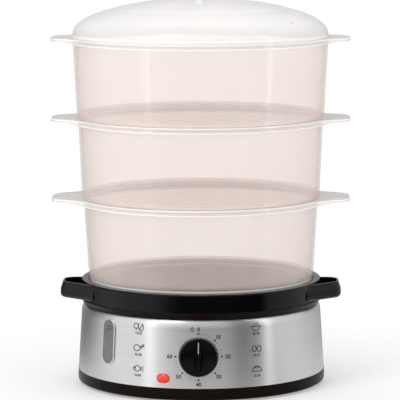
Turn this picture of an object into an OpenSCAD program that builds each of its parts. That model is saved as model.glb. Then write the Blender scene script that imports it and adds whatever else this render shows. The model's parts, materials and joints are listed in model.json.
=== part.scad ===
// Three-tier electric food steamer. Millimetres, +Z up, the floor at Z = 0,
// the middle of the base at X = Y = 0, the control panel facing -Y.

/* [Base] */
// Largest radius of the steel band, at its lower edge
body_r = 124; // [112:0.5:150]
// Inward lean of the band for each millimetre of height
wall_lean = 0.0625; // [0:0.0025:0.1]
// Height that the rubber feet stand proud of the bottom plate
foot_h = 2; // [1:0.5:4]
// Height of the black skirt under the steel band
skirt_h = 12; // [9:0.5:16]
// Height of the steel band
band_h = 66; // [62:1:90]
// Height of the rolled shoulder at the top of the band
shoulder_h = 10; // [6:0.5:12]
// Inward roll of the shoulder
shoulder_in = 3.1; // [1:0.1:4]
// Sheet thickness of the steel band
steel_t = 0.8; // [0.5:0.1:1.2]
// Wall of the plastic mouldings in the base
wall_t = 2.5; // [2:0.1:3.2]
// Height of the flared black rim above the band
rim_h = 7; // [6:0.5:10]
// Inset of the flared rim from the widest radius of the band
rim_inset = 2.5; // [1:0.1:4]
// Width of the level top face of the rim
rim_face_w = 8.7; // [7.5:0.1:12]

/* [Water tank] */
// Depth kept for the timer between the tank and the front wall
bay_depth = 35; // [33:0.5:40]
// Underside of the tank floor above the floor plate
tank_floor_z = 30; // [26:0.5:34]
// Depth of the sunken deck round the tank
deck_drop = 9; // [6:0.5:12]
// Angle of the level window round from the front, negative to the left
window_angle = -47; // [-60:1:-38]
// Height of the middle of the level window
window_z = 53.2; // [50:0.2:55]
// Width of the clear window
window_w = 14.6; // [12:0.2:18]
// Length of the clear window up the wall
window_h = 42.6; // [36:0.2:44]
// Width of the bezel round the window
bezel_w = 1.6; // [1.2:0.1:3]

/* [Heater] */
// Radius of the raised boiling plate
plate_r = 33.4; // [30:0.2:36]
// Radius of the plate's clamped flange
plate_flange_r = 40; // [38:0.2:42]
// Radius of the tube element's ring
element_r = 23; // [20:0.5:25]
// Radius of the element's tube
element_tube_r = 3.2; // [2.5:0.1:4]
// Inner radius of the loose steam ring round the plate
steam_ring_r = 43; // [42:0.5:48]
// Height of the steam ring
steam_ring_h = 44; // [36:1:46]

/* [Timer and controls] */
// Height of the knob's axis
knob_z = 45; // [43:0.5:50]
// Radius of the knob
knob_r = 18.5; // [16:0.25:20]
// Depth of the knob's dished body
knob_h = 6.5; // [5:0.5:8]
// Height of the finger blade above the knob's body
blade_h = 5; // [3:0.5:7]
// Radius of the timer's shaft
shaft_r = 3; // [2:0.25:4]
// Half width of the square timer case
timer_half = 21; // [20:0.5:23]
// Depth of the timer case
timer_d = 22; // [18:0.5:24]
// Module of the timer's gears
gear_module = 0.5; // [0.4:0.05:0.55]
// Teeth on the shaft's gear
gear_teeth = 36; // [30:2:40]
// Teeth on the pinion
pinion_teeth = 18; // [16:2:20]
// Angle of the lamp round from the front
lamp_angle = -16.3; // [-20:0.1:-14]
// Height of the middle of the lamp
lamp_z = 23.3; // [22:0.1:25]
// Width of the lamp's red lens
lamp_w = 13; // [10:0.2:14]
// Height of the lamp's red lens
lamp_h = 8.6; // [6:0.2:9]

/* [Drip tray] */
// Step of the tray's wall in from the flared rim
tray_step = 0.7; // [0.3:0.1:2]
// Height of the tray's wall
tray_h = 18; // [16:0.5:24]
// Width of the tray's top face, from its wall to its mouth
tray_face_w = 7.3; // [6:0.1:10]
// Depth of the ledge that carries the first basket below the tray's top
ledge_drop = 6.5; // [5:0.5:8]
// Reach of the filling scoops beyond the tray's wall
scoop_reach = 19.7; // [14:0.1:24]
// Radius of a scoop's rounded end
scoop_tip_r = 15; // [12:0.5:17]
// Distance of a scoop's middle in front of the tray's middle
scoop_forward = 16; // [0:0.5:24]
// Slant of a scoop's front wall back to the tray
scoop_slant = 42; // [30:1:60]
// Radius of the steam chimney in the middle of the tray
chimney_r = 46; // [42:0.5:52]

/* [Baskets] */
// Heights of the three baskets, each from its seat to its rim
tier_h = [82, 80, 80]; // [60:1:120]
// Outward lean of each basket's wall over its height
tier_taper = [5.0, 3.3, 4.2]; // [1:0.1:8]
// Step out from the wall below to the foot of each upper basket
tier_step = [1.5, 1.1]; // [0.5:0.1:3]
// Width of each basket's flange outside its wall
flange_w = [5.0, 3.4, 1.2]; // [1:0.1:8]
// Wall of a basket
basket_t = 2; // [1.5:0.1:2.6]
// Height of the flange's turned-down edge
flange_drop = 6; // [4:0.5:8]
// Height of a grip tab's turned-down edge
tab_drop = 3; // [2:0.5:4]
// Reach of the grip tabs beyond the widest radius of the band
tab_reach = 25.5; // [18:0.5:32]
// Radius of a grip tab's corners
tab_corner_r = 22; // [14:1:26]
// Half of the straight stretch across the end of a grip tab
tab_flat = 12; // [6:1:20]
// Radius of the hollow curve from a grip tab into the flange
tab_blend_r = 80; // [40:5:110]
// Height of a basket's floor above its seat
floor_lift = 4; // [3:0.5:6]
// Depth of the locating ring under a basket or the lid
ring_drop = 4; // [3:0.5:6]
// Radius of a steam hole
steam_hole_r = 3; // [2:0.25:4]
// Rings of steam holes in a floor
hole_rings = 5; // [3:1:6]

/* [Lid] */
// Height of the lid's upright band
lid_band_h = 3; // [2:0.5:12]
// Height of the rounded shoulder of the dome
dome_h = 29; // [20:0.5:40]
// Width of the rounded shoulder of the dome
dome_w = 77.6; // [60:0.2:90]
// Radius of the crease between the shoulder and the crown
crown_r = 87; // [70:0.5:92]
// Rise of the crown above the crease
crown_h = 10.3; // [6:0.1:16]
// Width of the grip rib over the crown
grip_w = 8; // [6:0.5:12]
// Length of the grip rib
grip_l = 124; // [90:1:140]
// Rise of the grip rib above the crown
grip_h = 12; // [8:0.5:18]

/* [Fits] */
// Gap between parts that are laid in one another
fit_gap = 0.5; // [0.3:0.05:0.8]
// Gap between parts that are clamped or clipped together
seat_gap = 0.2; // [0.1:0.05:0.3]
// Radial clearance of a shaft in its bearing
shaft_gap = 0.05; // [0.02:0.01:0.08]
// Backlash of the timer's gears, taken off each tooth
backlash = 0.12; // [0.08:0.02:0.2]

/* [Hidden] */
$fn = 96;
eps = 0.01;
lean_angle = atan(wall_lean);

// Levels from the floor up
band_z = foot_h + skirt_h;
band_top = band_z + band_h;
shoulder_z = band_top - shoulder_h;
rim_top = band_top + rim_h;
tray_top = rim_top + tray_h;
rim_z = [tray_top + tier_h[0], tray_top + tier_h[0] + tier_h[1],
  tray_top + tier_h[0] + tier_h[1] + tier_h[2]];
seat_z = [tray_top, rim_z[0], rim_z[1]];

// Radii of the base
rim_r = body_r - rim_inset;
rim_mouth_r = rim_r - rim_face_w;
plate_z = foot_h;
plate_t = wall_t;
plate_rim_r = body_r - 5.3;
housing_in = steel_t + seat_gap;
tank_r = body_r - housing_in - wall_t - bay_depth - wall_t;
tank_in_z = tank_floor_z + wall_t;
tank_flange_r = rim_mouth_r - seat_gap;
tank_flange_z = rim_top - wall_t;
deck_r = tank_flange_r - 5.5;
deck_z = rim_top - deck_drop;
screw_circle_r = body_r - 10;
screw_r = 1.5;
foot_r = 9;
foot_circle_r = body_r - 24;
foot_pocket = 1.2;

// Radii of the tray and the baskets
tray_r = rim_r - tray_step;
tray_mouth_r = tray_r - tray_face_w;
tray_floor_z = rim_top + 2;
tray_floor_t = 2.2;
ledge_z = tray_top - ledge_drop;
ledge_w = 5;
scoop_x = tray_r + scoop_reach - scoop_tip_r;
scoop_floor_z = rim_top + 1.7;
wall_base_r = tray_mouth_r - fit_gap - 0.4;
wall_top_r = [wall_base_r + tier_taper[0],
  wall_base_r + tier_taper[0] + tier_step[0] + tier_taper[1],
  wall_base_r + tier_taper[0] + tier_step[0] + tier_taper[1] + tier_step[1] + tier_taper[2]];
tab_tip = body_r + tab_reach;
lid_r = wall_top_r[2];
lid_z = rim_z[2];
dome_z = lid_z + lid_band_h;
crown_z = dome_z + dome_h * sqrt(1 - pow((crown_r - lid_r + dome_w) / dome_w, 2));

// Outside radius of the leaning wall of the base at height z
function wall_r(z) = body_r - wall_lean * (z - band_z);
// Points along an arc, from angle a to angle b
function arc(x, y, r, a, b, steps = 8) =
  [for (i = [0:steps]) [x + r * cos(a + (b - a) * i / steps), y + r * sin(a + (b - a) * i / steps)]];
// Points of an upright ellipse's quarter, with half axes w and h
function quarter(x, y, w, h, a, b, steps = 12) =
  [for (i = [0:steps]) [x + w * cos(a + (b - a) * i / steps), y + h * sin(a + (b - a) * i / steps)]];

// Places children on the leaning wall, with local +Z outward and local +Y up the wall
module on_wall(angle, z) {
  rotate([0, 0, angle])
    translate([0, -wall_r(z), z])
      rotate([90 - lean_angle, 0, 0])
        children();
}

module tube(r_out, r_in, h) {
  difference() {
    cylinder(r = r_out, h = h);
    translate([0, 0, -1]) cylinder(r = r_in, h = h + 2);
  }
}

// Slot with round ends, w across and h high
module oblong(w, h) {
  r = min(w, h) / 2;
  square([w > h ? w - h : w, h > w ? h - w : h], center = true);
  for (s = [-1, 1]) translate([s * (w / 2 - r), s * (h / 2 - r)]) circle(r = r);
}

// Straight round bar between two points
module rod(a, b, r) {
  v = b - a;
  translate(a)
    rotate([0, acos(v[2] / norm(v)), atan2(v[1], v[0])])
      cylinder(r = r, h = norm(v));
}

// Round bar through a list of points, with fuller ball corners
module bent_rod(points, r) {
  for (i = [0:len(points) - 2]) rod(points[i], points[i + 1], r);
  for (i = [1:len(points) - 2]) translate(points[i]) sphere(r = 1.3 * r, $fn = 24);
}

// ---- base ----

// Outline of the band's outer face, from its lower edge to its top, drawn in by d
function band_outline(d) = concat(
  [[body_r - d, band_z]],
  quarter(wall_r(shoulder_z) - shoulder_in - d, shoulder_z, shoulder_in, shoulder_h, 0, 80, 6),
  [[wall_r(shoulder_z) - shoulder_in - d, band_top]]);

module wall_cuts() {
  on_wall(window_angle, window_z)
    translate([0, 0, -8]) linear_extrude(20) oblong(window_w + 2 * seat_gap, window_h + 2 * seat_gap);
  on_wall(lamp_angle, lamp_z)
    translate([0, 0, -8]) linear_extrude(20) oblong(lamp_w + 2 * seat_gap, lamp_h + 2 * seat_gap);
  on_wall(0, knob_z) translate([0, 0, -8]) {
    cylinder(r = shaft_bush_r + seat_gap, h = 20);
    for (s = [-1, 1]) translate([s * timer_screw_x, 0, 0]) cylinder(r = screw_r + seat_gap, h = 20, $fn = 32);
  }
  gland_axis() translate([0, 0, -30]) linear_extrude(60) gland_section(seat_gap);
}

gland_r = 6.8;
gland_rim_r = gland_r + 3;
gland_bore_r = 3.7;
gland_z = 32;
module gland_axis() {
  translate([0, wall_r(gland_z), gland_z]) rotate([-90, 0, 0]) children();
}

// Eight flats keep the gland from turning in the wall
module gland_section(gap) {
  a = gland_r + gap;
  b = a - gland_r * 0.41;
  polygon([[a, -b], [a, b], [b, a], [-b, a], [-a, b], [-a, -b], [-b, -a], [b, -a]]);
}

module base_housing() {
  skirt_r = body_r + 0.3;
  inner = housing_in + wall_t;
  color([0.10, 0.09, 0.09]) difference() {
    union() {
      rotate_extrude() polygon(concat(
        [[plate_rim_r + 0.3, plate_z]],
        arc(skirt_r - 3, plate_z + 3, 3, -90, 0, 5),
        [[skirt_r, band_z]],
        band_outline(housing_in),
        [[wall_r(shoulder_z) - shoulder_in + 0.2, band_top],
          [rim_r, rim_top - 0.8], [rim_r - 0.4, rim_top],
          [rim_mouth_r, rim_top], [rim_mouth_r, tank_flange_z],
          [rim_mouth_r - 2.7, tank_flange_z], [rim_mouth_r - 2.7, tank_flange_z - 2.5],
          [wall_r(shoulder_z + 6) - inner, shoulder_z + 6],
          [body_r - inner, band_z], [plate_rim_r + 0.3, band_z - 4]]));
      intersection() {
        for (a = [30:60:330]) rotate([0, 0, a]) {
          translate([0, -screw_circle_r, plate_z + plate_t]) cylinder(r = 4.5, h = 18);
          translate([-1.5, -body_r, plate_z + plate_t]) cube([3, body_r - screw_circle_r, 18]);
        }
        cylinder(r = body_r - inner + 0.5, h = band_z + 12);
      }
    }
    for (a = [30:60:330]) rotate([0, 0, a]) translate([0, -screw_circle_r, 0])
      cylinder(r = screw_r + shaft_gap, h = plate_z + plate_t + 14);
    wall_cuts();
  }
}

// Shell that follows the band, between the offsets d_out and d_in from its outer face
module band_shell(d_out, d_in) {
  inner = band_outline(d_in);
  rotate_extrude() polygon(concat(band_outline(d_out), [for (i = [len(inner) - 1:-1:0]) inner[i]]));
}

module steel_band() {
  color([0.78, 0.78, 0.79]) difference() {
    band_shell(0, steel_t);
    wall_cuts();
  }
}

module bottom_plate() {
  color([0.12, 0.11, 0.11]) translate([0, 0, plate_z]) difference() {
    linear_extrude(plate_t) difference() {
      circle(r = plate_rim_r);
      for (a = [30:60:330]) rotate(a) translate([0, -screw_circle_r]) circle(r = screw_r + 0.3, $fn = 32);
      for (x = [-24:8:24]) translate([x, 0]) oblong(3, 42);
    }
    for (a = [45:90:315]) rotate([0, 0, a]) translate([0, -foot_circle_r, -1])
      cylinder(r = foot_r + seat_gap, h = 1 + foot_pocket);
    for (a = [30:60:330]) rotate([0, 0, a]) translate([0, -screw_circle_r, -1])
      cylinder(r = 3.2, h = 1 + 1.2);
  }
}

module rubber_feet() {
  color([0.16, 0.16, 0.16]) for (a = [45:90:315]) rotate([0, 0, a]) translate([0, -foot_circle_r, 0])
    rotate_extrude() polygon([[0, 0], [foot_r - 1, 0], [foot_r, 1], [foot_r, foot_h + foot_pocket],
      [0, foot_h + foot_pocket]]);
}

// Pan-head screw with its head below and its shank up +Z
module screw(shank) {
  translate([0, 0, -1.1]) cylinder(r = 2.8, h = 1.1, $fn = 32);
  translate([0, 0, -eps]) cylinder(r = screw_r, h = shank + eps, $fn = 32);
}

module plate_screws() {
  color([0.55, 0.55, 0.56]) for (a = [30:60:330]) rotate([0, 0, a])
    translate([0, -screw_circle_r, plate_z + 1.2]) screw(13);
}

// ---- water tank and level window ----

channel_in = 6.4;
module water_tank() {
  color([0.20, 0.20, 0.21]) difference() {
    union() {
      rotate_extrude() polygon([[0, tank_floor_z], [tank_r + wall_t, tank_floor_z],
        [tank_r + wall_t, deck_z - wall_t], [deck_r + wall_t, deck_z - wall_t],
        [deck_r + wall_t, tank_flange_z], [tank_flange_r, tank_flange_z],
        [tank_flange_r, rim_top], [deck_r, rim_top], [deck_r, deck_z], [0, deck_z]]);
      on_wall(window_angle, window_z) translate([0, 0, -channel_in - bay_depth])
        linear_extrude(bay_depth) square([window_w + 4.4, window_h + 1.4], center = true);
      for (a = [90:120:330]) rotate([0, 0, a]) translate([0, -clamp_screw_r, flange_z])
        cylinder(r = 4, h = tank_floor_z - flange_z + eps);
    }
    translate([0, 0, tank_in_z]) cylinder(r = tank_r, h = rim_top);
    cylinder(r = plate_r + seat_gap, h = rim_top);
    on_wall(window_angle, window_z) translate([0, 0, -channel_in - bay_depth - 12])
      linear_extrude(bay_depth + 13) square([window_w - 2, window_h - 4], center = true);
    for (a = [90:120:330]) rotate([0, 0, a]) translate([0, -clamp_screw_r, flange_z - 1])
      cylinder(r = screw_r + shaft_gap, h = tank_floor_z - flange_z + 2.2, $fn = 32);
  }
}

lens_flange_z = -housing_in - wall_t - 1.4;
module level_window() {
  color([0.75, 0.78, 0.80, 0.5]) on_wall(window_angle, window_z) {
    translate([0, 0, lens_flange_z]) linear_extrude(0.5 - lens_flange_z) oblong(window_w, window_h);
    translate([0, 0, lens_flange_z]) linear_extrude(0.9) oblong(window_w + 3.4, window_h + 1.2);
  }
}

module window_bezel() {
  color([0.85, 0.85, 0.86]) intersection() {
    band_shell(-1, 0);
    on_wall(window_angle, window_z) translate([0, 0, -4]) linear_extrude(10) difference() {
      oblong(window_w + 2 * bezel_w, window_h + 2 * bezel_w);
      oblong(window_w + 2 * seat_gap, window_h + 2 * seat_gap);
    }
  }
}

module window_gasket() {
  color([0.85, 0.80, 0.75]) on_wall(window_angle, window_z) translate([0, 0, -channel_in])
    linear_extrude(lens_flange_z + channel_in) difference() {
      square([window_w + 3, window_h + 1], center = true);
      square([window_w - 2, window_h - 4], center = true);
    }
}

// ---- heater ----

clamp_screw_r = plate_flange_r + 8;
gasket_t = 1.3;
sheet_t = 1.5;
flange_z = tank_floor_z - gasket_t - sheet_t;
plateau_z = tank_in_z + 1.5;
clamp_t = 2.4;
clamp_z = flange_z - clamp_t;

module boiling_plate() {
  color([0.72, 0.72, 0.73]) rotate_extrude() polygon([
    [plate_flange_r, flange_z], [plate_flange_r, flange_z + sheet_t],
    [plate_r, flange_z + sheet_t], [plate_r, plateau_z - 2], [plate_r - 2, plateau_z],
    [0, plateau_z], [0, plateau_z - sheet_t], [plate_r - 2.6, plateau_z - sheet_t],
    [plate_r - sheet_t, plateau_z - 2.6], [plate_r - sheet_t, flange_z]]);
}

// Lower ends of the element's two pins
pin_x = element_r * cos(53);
pin_y = element_r * sin(53);
pin_z = tank_floor_z - 14.5;
module tube_element() {
  color([0.35, 0.33, 0.32]) {
    translate([0, 0, plateau_z - sheet_t - element_tube_r]) rotate([0, 0, 120])
      rotate_extrude(angle = 300) translate([element_r, 0]) circle(r = element_tube_r, $fn = 32);
    for (s = [-1, 1]) translate([s * pin_x, pin_y, pin_z])
      cylinder(r = 1.4, h = plateau_z - sheet_t - element_tube_r - pin_z, $fn = 24);
  }
}

module element_gasket() {
  color([0.80, 0.35, 0.25]) translate([0, 0, flange_z + sheet_t])
    tube(plate_flange_r, plate_r + seat_gap + 0.6, gasket_t);
}

module element_clamp() {
  color([0.62, 0.62, 0.60]) translate([0, 0, clamp_z]) linear_extrude(clamp_t) difference() {
    union() {
      circle(r = plate_flange_r + 1);
      for (a = [90:120:330]) rotate(a) translate([0, -clamp_screw_r / 2])
        square([11, clamp_screw_r], center = true);
      for (a = [90:120:330]) rotate(a) translate([0, -clamp_screw_r]) circle(r = 5.5);
    }
    circle(r = plate_r - sheet_t - 0.6);
    for (a = [90:120:330]) rotate(a) translate([0, -clamp_screw_r]) circle(r = screw_r + 0.2, $fn = 32);
  }
}

module clamp_screws() {
  color([0.55, 0.55, 0.56]) for (a = [90:120:330]) rotate([0, 0, a])
    translate([0, -clamp_screw_r, clamp_z]) screw(6);
}

lug_z = plateau_z - sheet_t - 16;
module thermostat() {
  top = plateau_z - sheet_t;
  color([0.85, 0.83, 0.76]) {
    translate([0, 0, top - 9]) cylinder(r = 8, h = 9);
    for (s = [-1, 1]) translate([s * 4 - 0.4, -2, lug_z]) cube([0.8, 4, 7.5]);
  }
}

fuse_x = plate_flange_r - 4;
fuse_z = clamp_z - 2.6;
fuse_half = 13;
module thermal_fuse() {
  color([0.90, 0.88, 0.80]) {
    rod([fuse_x, -7, fuse_z], [fuse_x, 7, fuse_z], 2.6);
    rod([fuse_x, -fuse_half, fuse_z], [fuse_x, fuse_half, fuse_z], 0.6);
  }
}

module steam_ring() {
  color([0.16, 0.16, 0.17]) translate([0, 0, tank_in_z]) difference() {
    union() {
      tube(steam_ring_r + 2, steam_ring_r, steam_ring_h);
      translate([0, 0, steam_ring_h - 2]) tube(steam_ring_r + 5, steam_ring_r, 2);
    }
    for (a = [0:45:135]) rotate([0, 0, a]) translate([-body_r / 2, -6, -1]) cube([body_r, 12, 7]);
  }
}

// ---- timer, knob and lamp ----

case_front = -housing_in - wall_t - 2.6;
shaft_bush_r = 5;
cover_t = 1.6;
gear_pitch_r = gear_module * gear_teeth / 2;
pinion_pitch_r = gear_module * pinion_teeth / 2;
gear_centres = gear_pitch_r + pinion_pitch_r;
gear_t = 3;
gear_z = case_front - cover_t - 5;
case_back = case_front - timer_d;

timer_screw_x = 11.5;
knob_back = 1.2;
shaft_end = 4.6;
module timer_place() { on_wall(0, knob_z) children(); }
// World position of a point given in the timer's own directions
function at_timer(x, y, z) = [x, -wall_r(knob_z) + y * sin(lean_angle) - z * cos(lean_angle),
  knob_z + y * cos(lean_angle) + z * sin(lean_angle)];

// Spur gear, its teeth straight-sided and thinned by the backlash
module gear_2d(teeth, bore_r, phase) {
  pitch_r = gear_module * teeth / 2;
  root_r = pitch_r - 1.25 * gear_module;
  tip_r = pitch_r + 0.95 * gear_module;
  function half(r) = (gear_module * PI / 4 - backlash / 2 - (r - pitch_r) * tan(21)) / r * 180 / PI;
  difference() {
    rotate(phase) union() {
      circle(r = root_r);
      for (i = [0:teeth - 1]) rotate(i * 360 / teeth) polygon([
        for (s = [-1, 1], r = s < 0 ? [root_r - 0.1, pitch_r, tip_r] : [tip_r, pitch_r, root_r - 0.1])
          [r * cos(s * half(r)), r * sin(s * half(r))]]);
    }
    circle(r = bore_r);
  }
}

module timer_case() {
  color([0.82, 0.81, 0.76]) timer_place() difference() {
    translate([0, 0, case_back]) linear_extrude(timer_d - cover_t) square(2 * timer_half, center = true);
    translate([0, 0, case_back + 2]) linear_extrude(timer_d) square(2 * timer_half - 3, center = true);
    translate([0, 0, case_back - 1]) cylinder(r = shaft_r + shaft_gap, h = 4);
    translate([0, -gear_centres, case_back - 1]) cylinder(r = 1.2 + shaft_gap, h = 4, $fn = 32);
  }
}

module timer_cover() {
  inner = housing_in + wall_t;
  color([0.70, 0.70, 0.70]) difference() {
    timer_place() translate([0, 0, case_front - cover_t]) {
      linear_extrude(cover_t) square(2 * timer_half, center = true);
      for (s = [-1, 1]) translate([s * timer_screw_x, 0, 0]) cylinder(r = 3.4, h = cover_t + 4);
    }
    rotate_extrude() polygon([[wall_r(0) - inner, 0], [2 * body_r, 0], [2 * body_r, band_top],
      [wall_r(band_top) - inner, band_top]]);
    timer_place() translate([0, 0, case_front - cover_t - 1]) {
      cylinder(r = shaft_bush_r, h = 12);
      translate([0, -gear_centres, 0]) cylinder(r = 1.2 + shaft_gap, h = 4, $fn = 32);
      for (s = [-1, 1]) translate([s * timer_screw_x, 0, 0])
        cylinder(r = screw_r + shaft_gap, h = 12, $fn = 32);
    }
  }
  color([0.70, 0.70, 0.70]) timer_place() translate([0, 0, case_front - cover_t])
    tube(shaft_bush_r, shaft_r + shaft_gap, cover_t - case_front - 0.6);
}

module timer_screws() {
  sag = pow(timer_screw_x - 2.5, 2) / (2 * wall_r(knob_z));
  color([0.55, 0.55, 0.56]) timer_place() for (s = [-1, 1]) translate([s * timer_screw_x, 0, 0]) {
    translate([0, 0, -sag + eps]) cylinder(r = 2.5, h = 1, $fn = 32);
    translate([0, 0, case_front - cover_t - 1]) cylinder(r = screw_r, h = cover_t - case_front + 1, $fn = 32);
  }
}

module timer_bell() {
  color([0.80, 0.78, 0.70]) timer_place() translate([0, -timer_half, (case_front + case_back) / 2])
    rotate([90, 0, 0]) rotate_extrude() polygon(concat(
      [[0, 0], [3, 0], [3, 2.4]], arc(7, 5.4, 3, -90, 0, 5), [[10, 8.4], [8.8, 8.4], [8.8, 5.4]],
      arc(6.8, 5.6, 2, 0, -90, 5), [[0, 3.6]]));
}

module timer_shaft() {
  color([0.75, 0.75, 0.77]) timer_place() translate([0, 0, case_back + 0.4])
    cylinder(r = shaft_r, h = shaft_end - case_back - 0.4);
}

module timer_gear() {
  color([0.90, 0.86, 0.70]) timer_place() translate([0, 0, gear_z])
    linear_extrude(gear_t) gear_2d(gear_teeth, shaft_r + eps, 90 + 180 / gear_teeth);
}

module timer_pinion() {
  color([0.80, 0.70, 0.40]) timer_place() translate([0, -gear_centres, 0]) {
    translate([0, 0, gear_z]) linear_extrude(gear_t) gear_2d(pinion_teeth, 0.8, 90);
    translate([0, 0, case_back + 0.4]) cylinder(r = 1.2, h = timer_d - 0.8, $fn = 32);
  }
}

module control_knob() {
  color([0.07, 0.07, 0.07]) timer_place() difference() {
    translate([0, 0, knob_back]) union() {
      rotate_extrude() polygon(concat([[0, 0], [knob_r, 0]],
        arc(knob_r - 1.8, knob_h - 1.8, 1.8, 0, 90, 5),
        [[knob_r - 4, knob_h - 0.3], [knob_r * 0.45, knob_h - 2], [0, knob_h - 2.2]]));
      intersection() {
        translate([-2.1, -knob_r, 0.5]) cube([4.2, 2 * knob_r, knob_h + blade_h]);
        cylinder(r = knob_r - 0.6, h = 40);
        rotate([0, 90, 0]) translate([26 - knob_h - blade_h, 0, -5]) cylinder(r = 26, h = 10);
      }
    }
    translate([0, 0, knob_back - 1]) cylinder(r = shaft_r + eps, h = shaft_end - knob_back + 1);
    translate([0, 0, knob_back - 1]) tube(knob_r - 2, shaft_r + 3, 3);
  }
}

module knob_ring() {
  color([0.88, 0.88, 0.89]) intersection() {
    band_shell(-0.8, 0);
    timer_place() translate([0, 0, -5]) tube(knob_r + 1.1, knob_r - 3, 10);
  }
}

module lamp_lens() {
  color([0.85, 0.10, 0.08]) on_wall(lamp_angle, lamp_z) {
    translate([0, 0, lens_flange_z]) linear_extrude(1.3 - lens_flange_z) oblong(lamp_w, lamp_h);
    translate([0, 0, lens_flange_z]) linear_extrude(0.9) oblong(lamp_w + 3, lamp_h + 2);
  }
}

module neon_lamp() {
  color([0.95, 0.60, 0.40]) on_wall(lamp_angle, lamp_z) translate([0, 0, lens_flange_z - 16]) {
    cylinder(r = 3, h = 13, $fn = 32);
    translate([0, 0, 13]) sphere(r = 3, $fn = 32);
  }
}

// ---- wiring ----

block_y = body_r - 40;
block_h = 11;
module terminal_block() {
  color([0.92, 0.92, 0.90]) translate([0, block_y, plate_z + plate_t]) difference() {
    translate([-17, -7, 0]) cube([34, 14, block_h]);
    for (x = [-11, 0, 11]) translate([x, 0, 5]) {
      rotate([90, 0, 0]) cylinder(r = 2, h = 20, center = true, $fn = 24);
      cylinder(r = 1.6, h = 10, $fn = 24);
    }
  }
}

module inner_leads() {
  hole_z = plate_z + plate_t + 4.3;
  mid_y = block_y - 16;
  low = hole_z + 1;
  earth_x = clamp_screw_r * sin(210);
  earth_y = -clamp_screw_r * cos(210);
  color([0.70, 0.25, 0.20]) {
    bent_rod([[11, block_y, hole_z], [11, mid_y, hole_z], [fuse_x, 30, fuse_z],
      [fuse_x, fuse_half, fuse_z]], 1.1);
    bent_rod([[fuse_x, -fuse_half, fuse_z], [fuse_x, -fuse_half - 12, fuse_z],
      at_timer(9, -14, case_back - 7), at_timer(9, -14, case_back - eps)], 1.1);
    bent_rod([at_timer(-9, -14, case_back - eps), at_timer(-9, -14, case_back - 7), [-6, -30, 14],
      [-4, 0, low], [-4, 0, lug_z]], 1.1);
    bent_rod([[4, 0, lug_z], [4, 0, low], [pin_x, pin_y, low], [pin_x, pin_y, pin_z]], 1.1);
    bent_rod([[-pin_x, pin_y, pin_z], [-pin_x, pin_y, low], [-11, mid_y, hole_z],
      [-11, block_y, hole_z]], 1.1);
    bent_rod([[0, block_y, hole_z], [0, mid_y, hole_z], [-4, mid_y - 6, 17],
      [earth_x, earth_y, 17], [earth_x, earth_y, clamp_z - 1.1]], 1.1);
  }
}

module cord_gland() {
  color([0.09, 0.09, 0.09]) gland_axis() difference() {
    union() {
      translate([0, 0, -14]) linear_extrude(18) gland_section(0);
      translate([0, 0, gland_rim_r * wall_lean]) cylinder(r = gland_rim_r, h = 2.4);
      translate([0, 0, 3]) cylinder(r = gland_r - 1, h = 5);
      translate([0, 0, -8.5]) cylinder(r = gland_rim_r, h = 4);
    }
    translate([0, 0, -20]) cylinder(r = gland_bore_r, h = 40);
  }
}

// ---- drip tray ----

// Corners of the +X scoop's middle line: rear root, rear corner, front corner, front root
scoop_path = [[tray_r - 12, scoop_tip_r * 0.42 - scoop_forward],
  [scoop_x, scoop_tip_r * 0.42 - scoop_forward], [scoop_x, -scoop_tip_r * 0.42 - scoop_forward],
  [scoop_x - 40 * cos(scoop_slant), -scoop_tip_r * 0.42 - scoop_forward - 40 * sin(scoop_slant)]];
// Directions in which the three walls face
scoop_faces = [90, 0, scoop_slant - 90];

// Half section of a scoop's wall, bulging a little, drawn in by d
module scoop_section(d, z_low, z_high, x_in = 0) {
  r = scoop_tip_r - d;
  polygon([[x_in, z_low], [r - 2.4, z_low], [r - 0.7, z_low + 1.4], [r, z_low + 4], [r - 0.4, z_low + 9],
    [r - 1.6, z_high - 3.5], [r - 2.6, z_high], [x_in, z_high]]);
}

// Scoop at +X: the section carried along the middle line and turned about its corners
module scoop_solid(d, z_low, z_high) {
  for (i = [0:2]) translate([scoop_path[i][0], scoop_path[i][1], 0]) rotate([90, 0, scoop_faces[i]])
    linear_extrude(norm(scoop_path[i + 1] - scoop_path[i])) scoop_section(d, z_low, z_high, -2);
  for (i = [1, 2]) translate([scoop_path[i][0], scoop_path[i][1], 0])
    rotate_extrude() scoop_section(d + 2 * eps, z_low, z_high);
  translate([0, 0, z_low]) linear_extrude(z_high - z_low) polygon(scoop_path);
}

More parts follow.
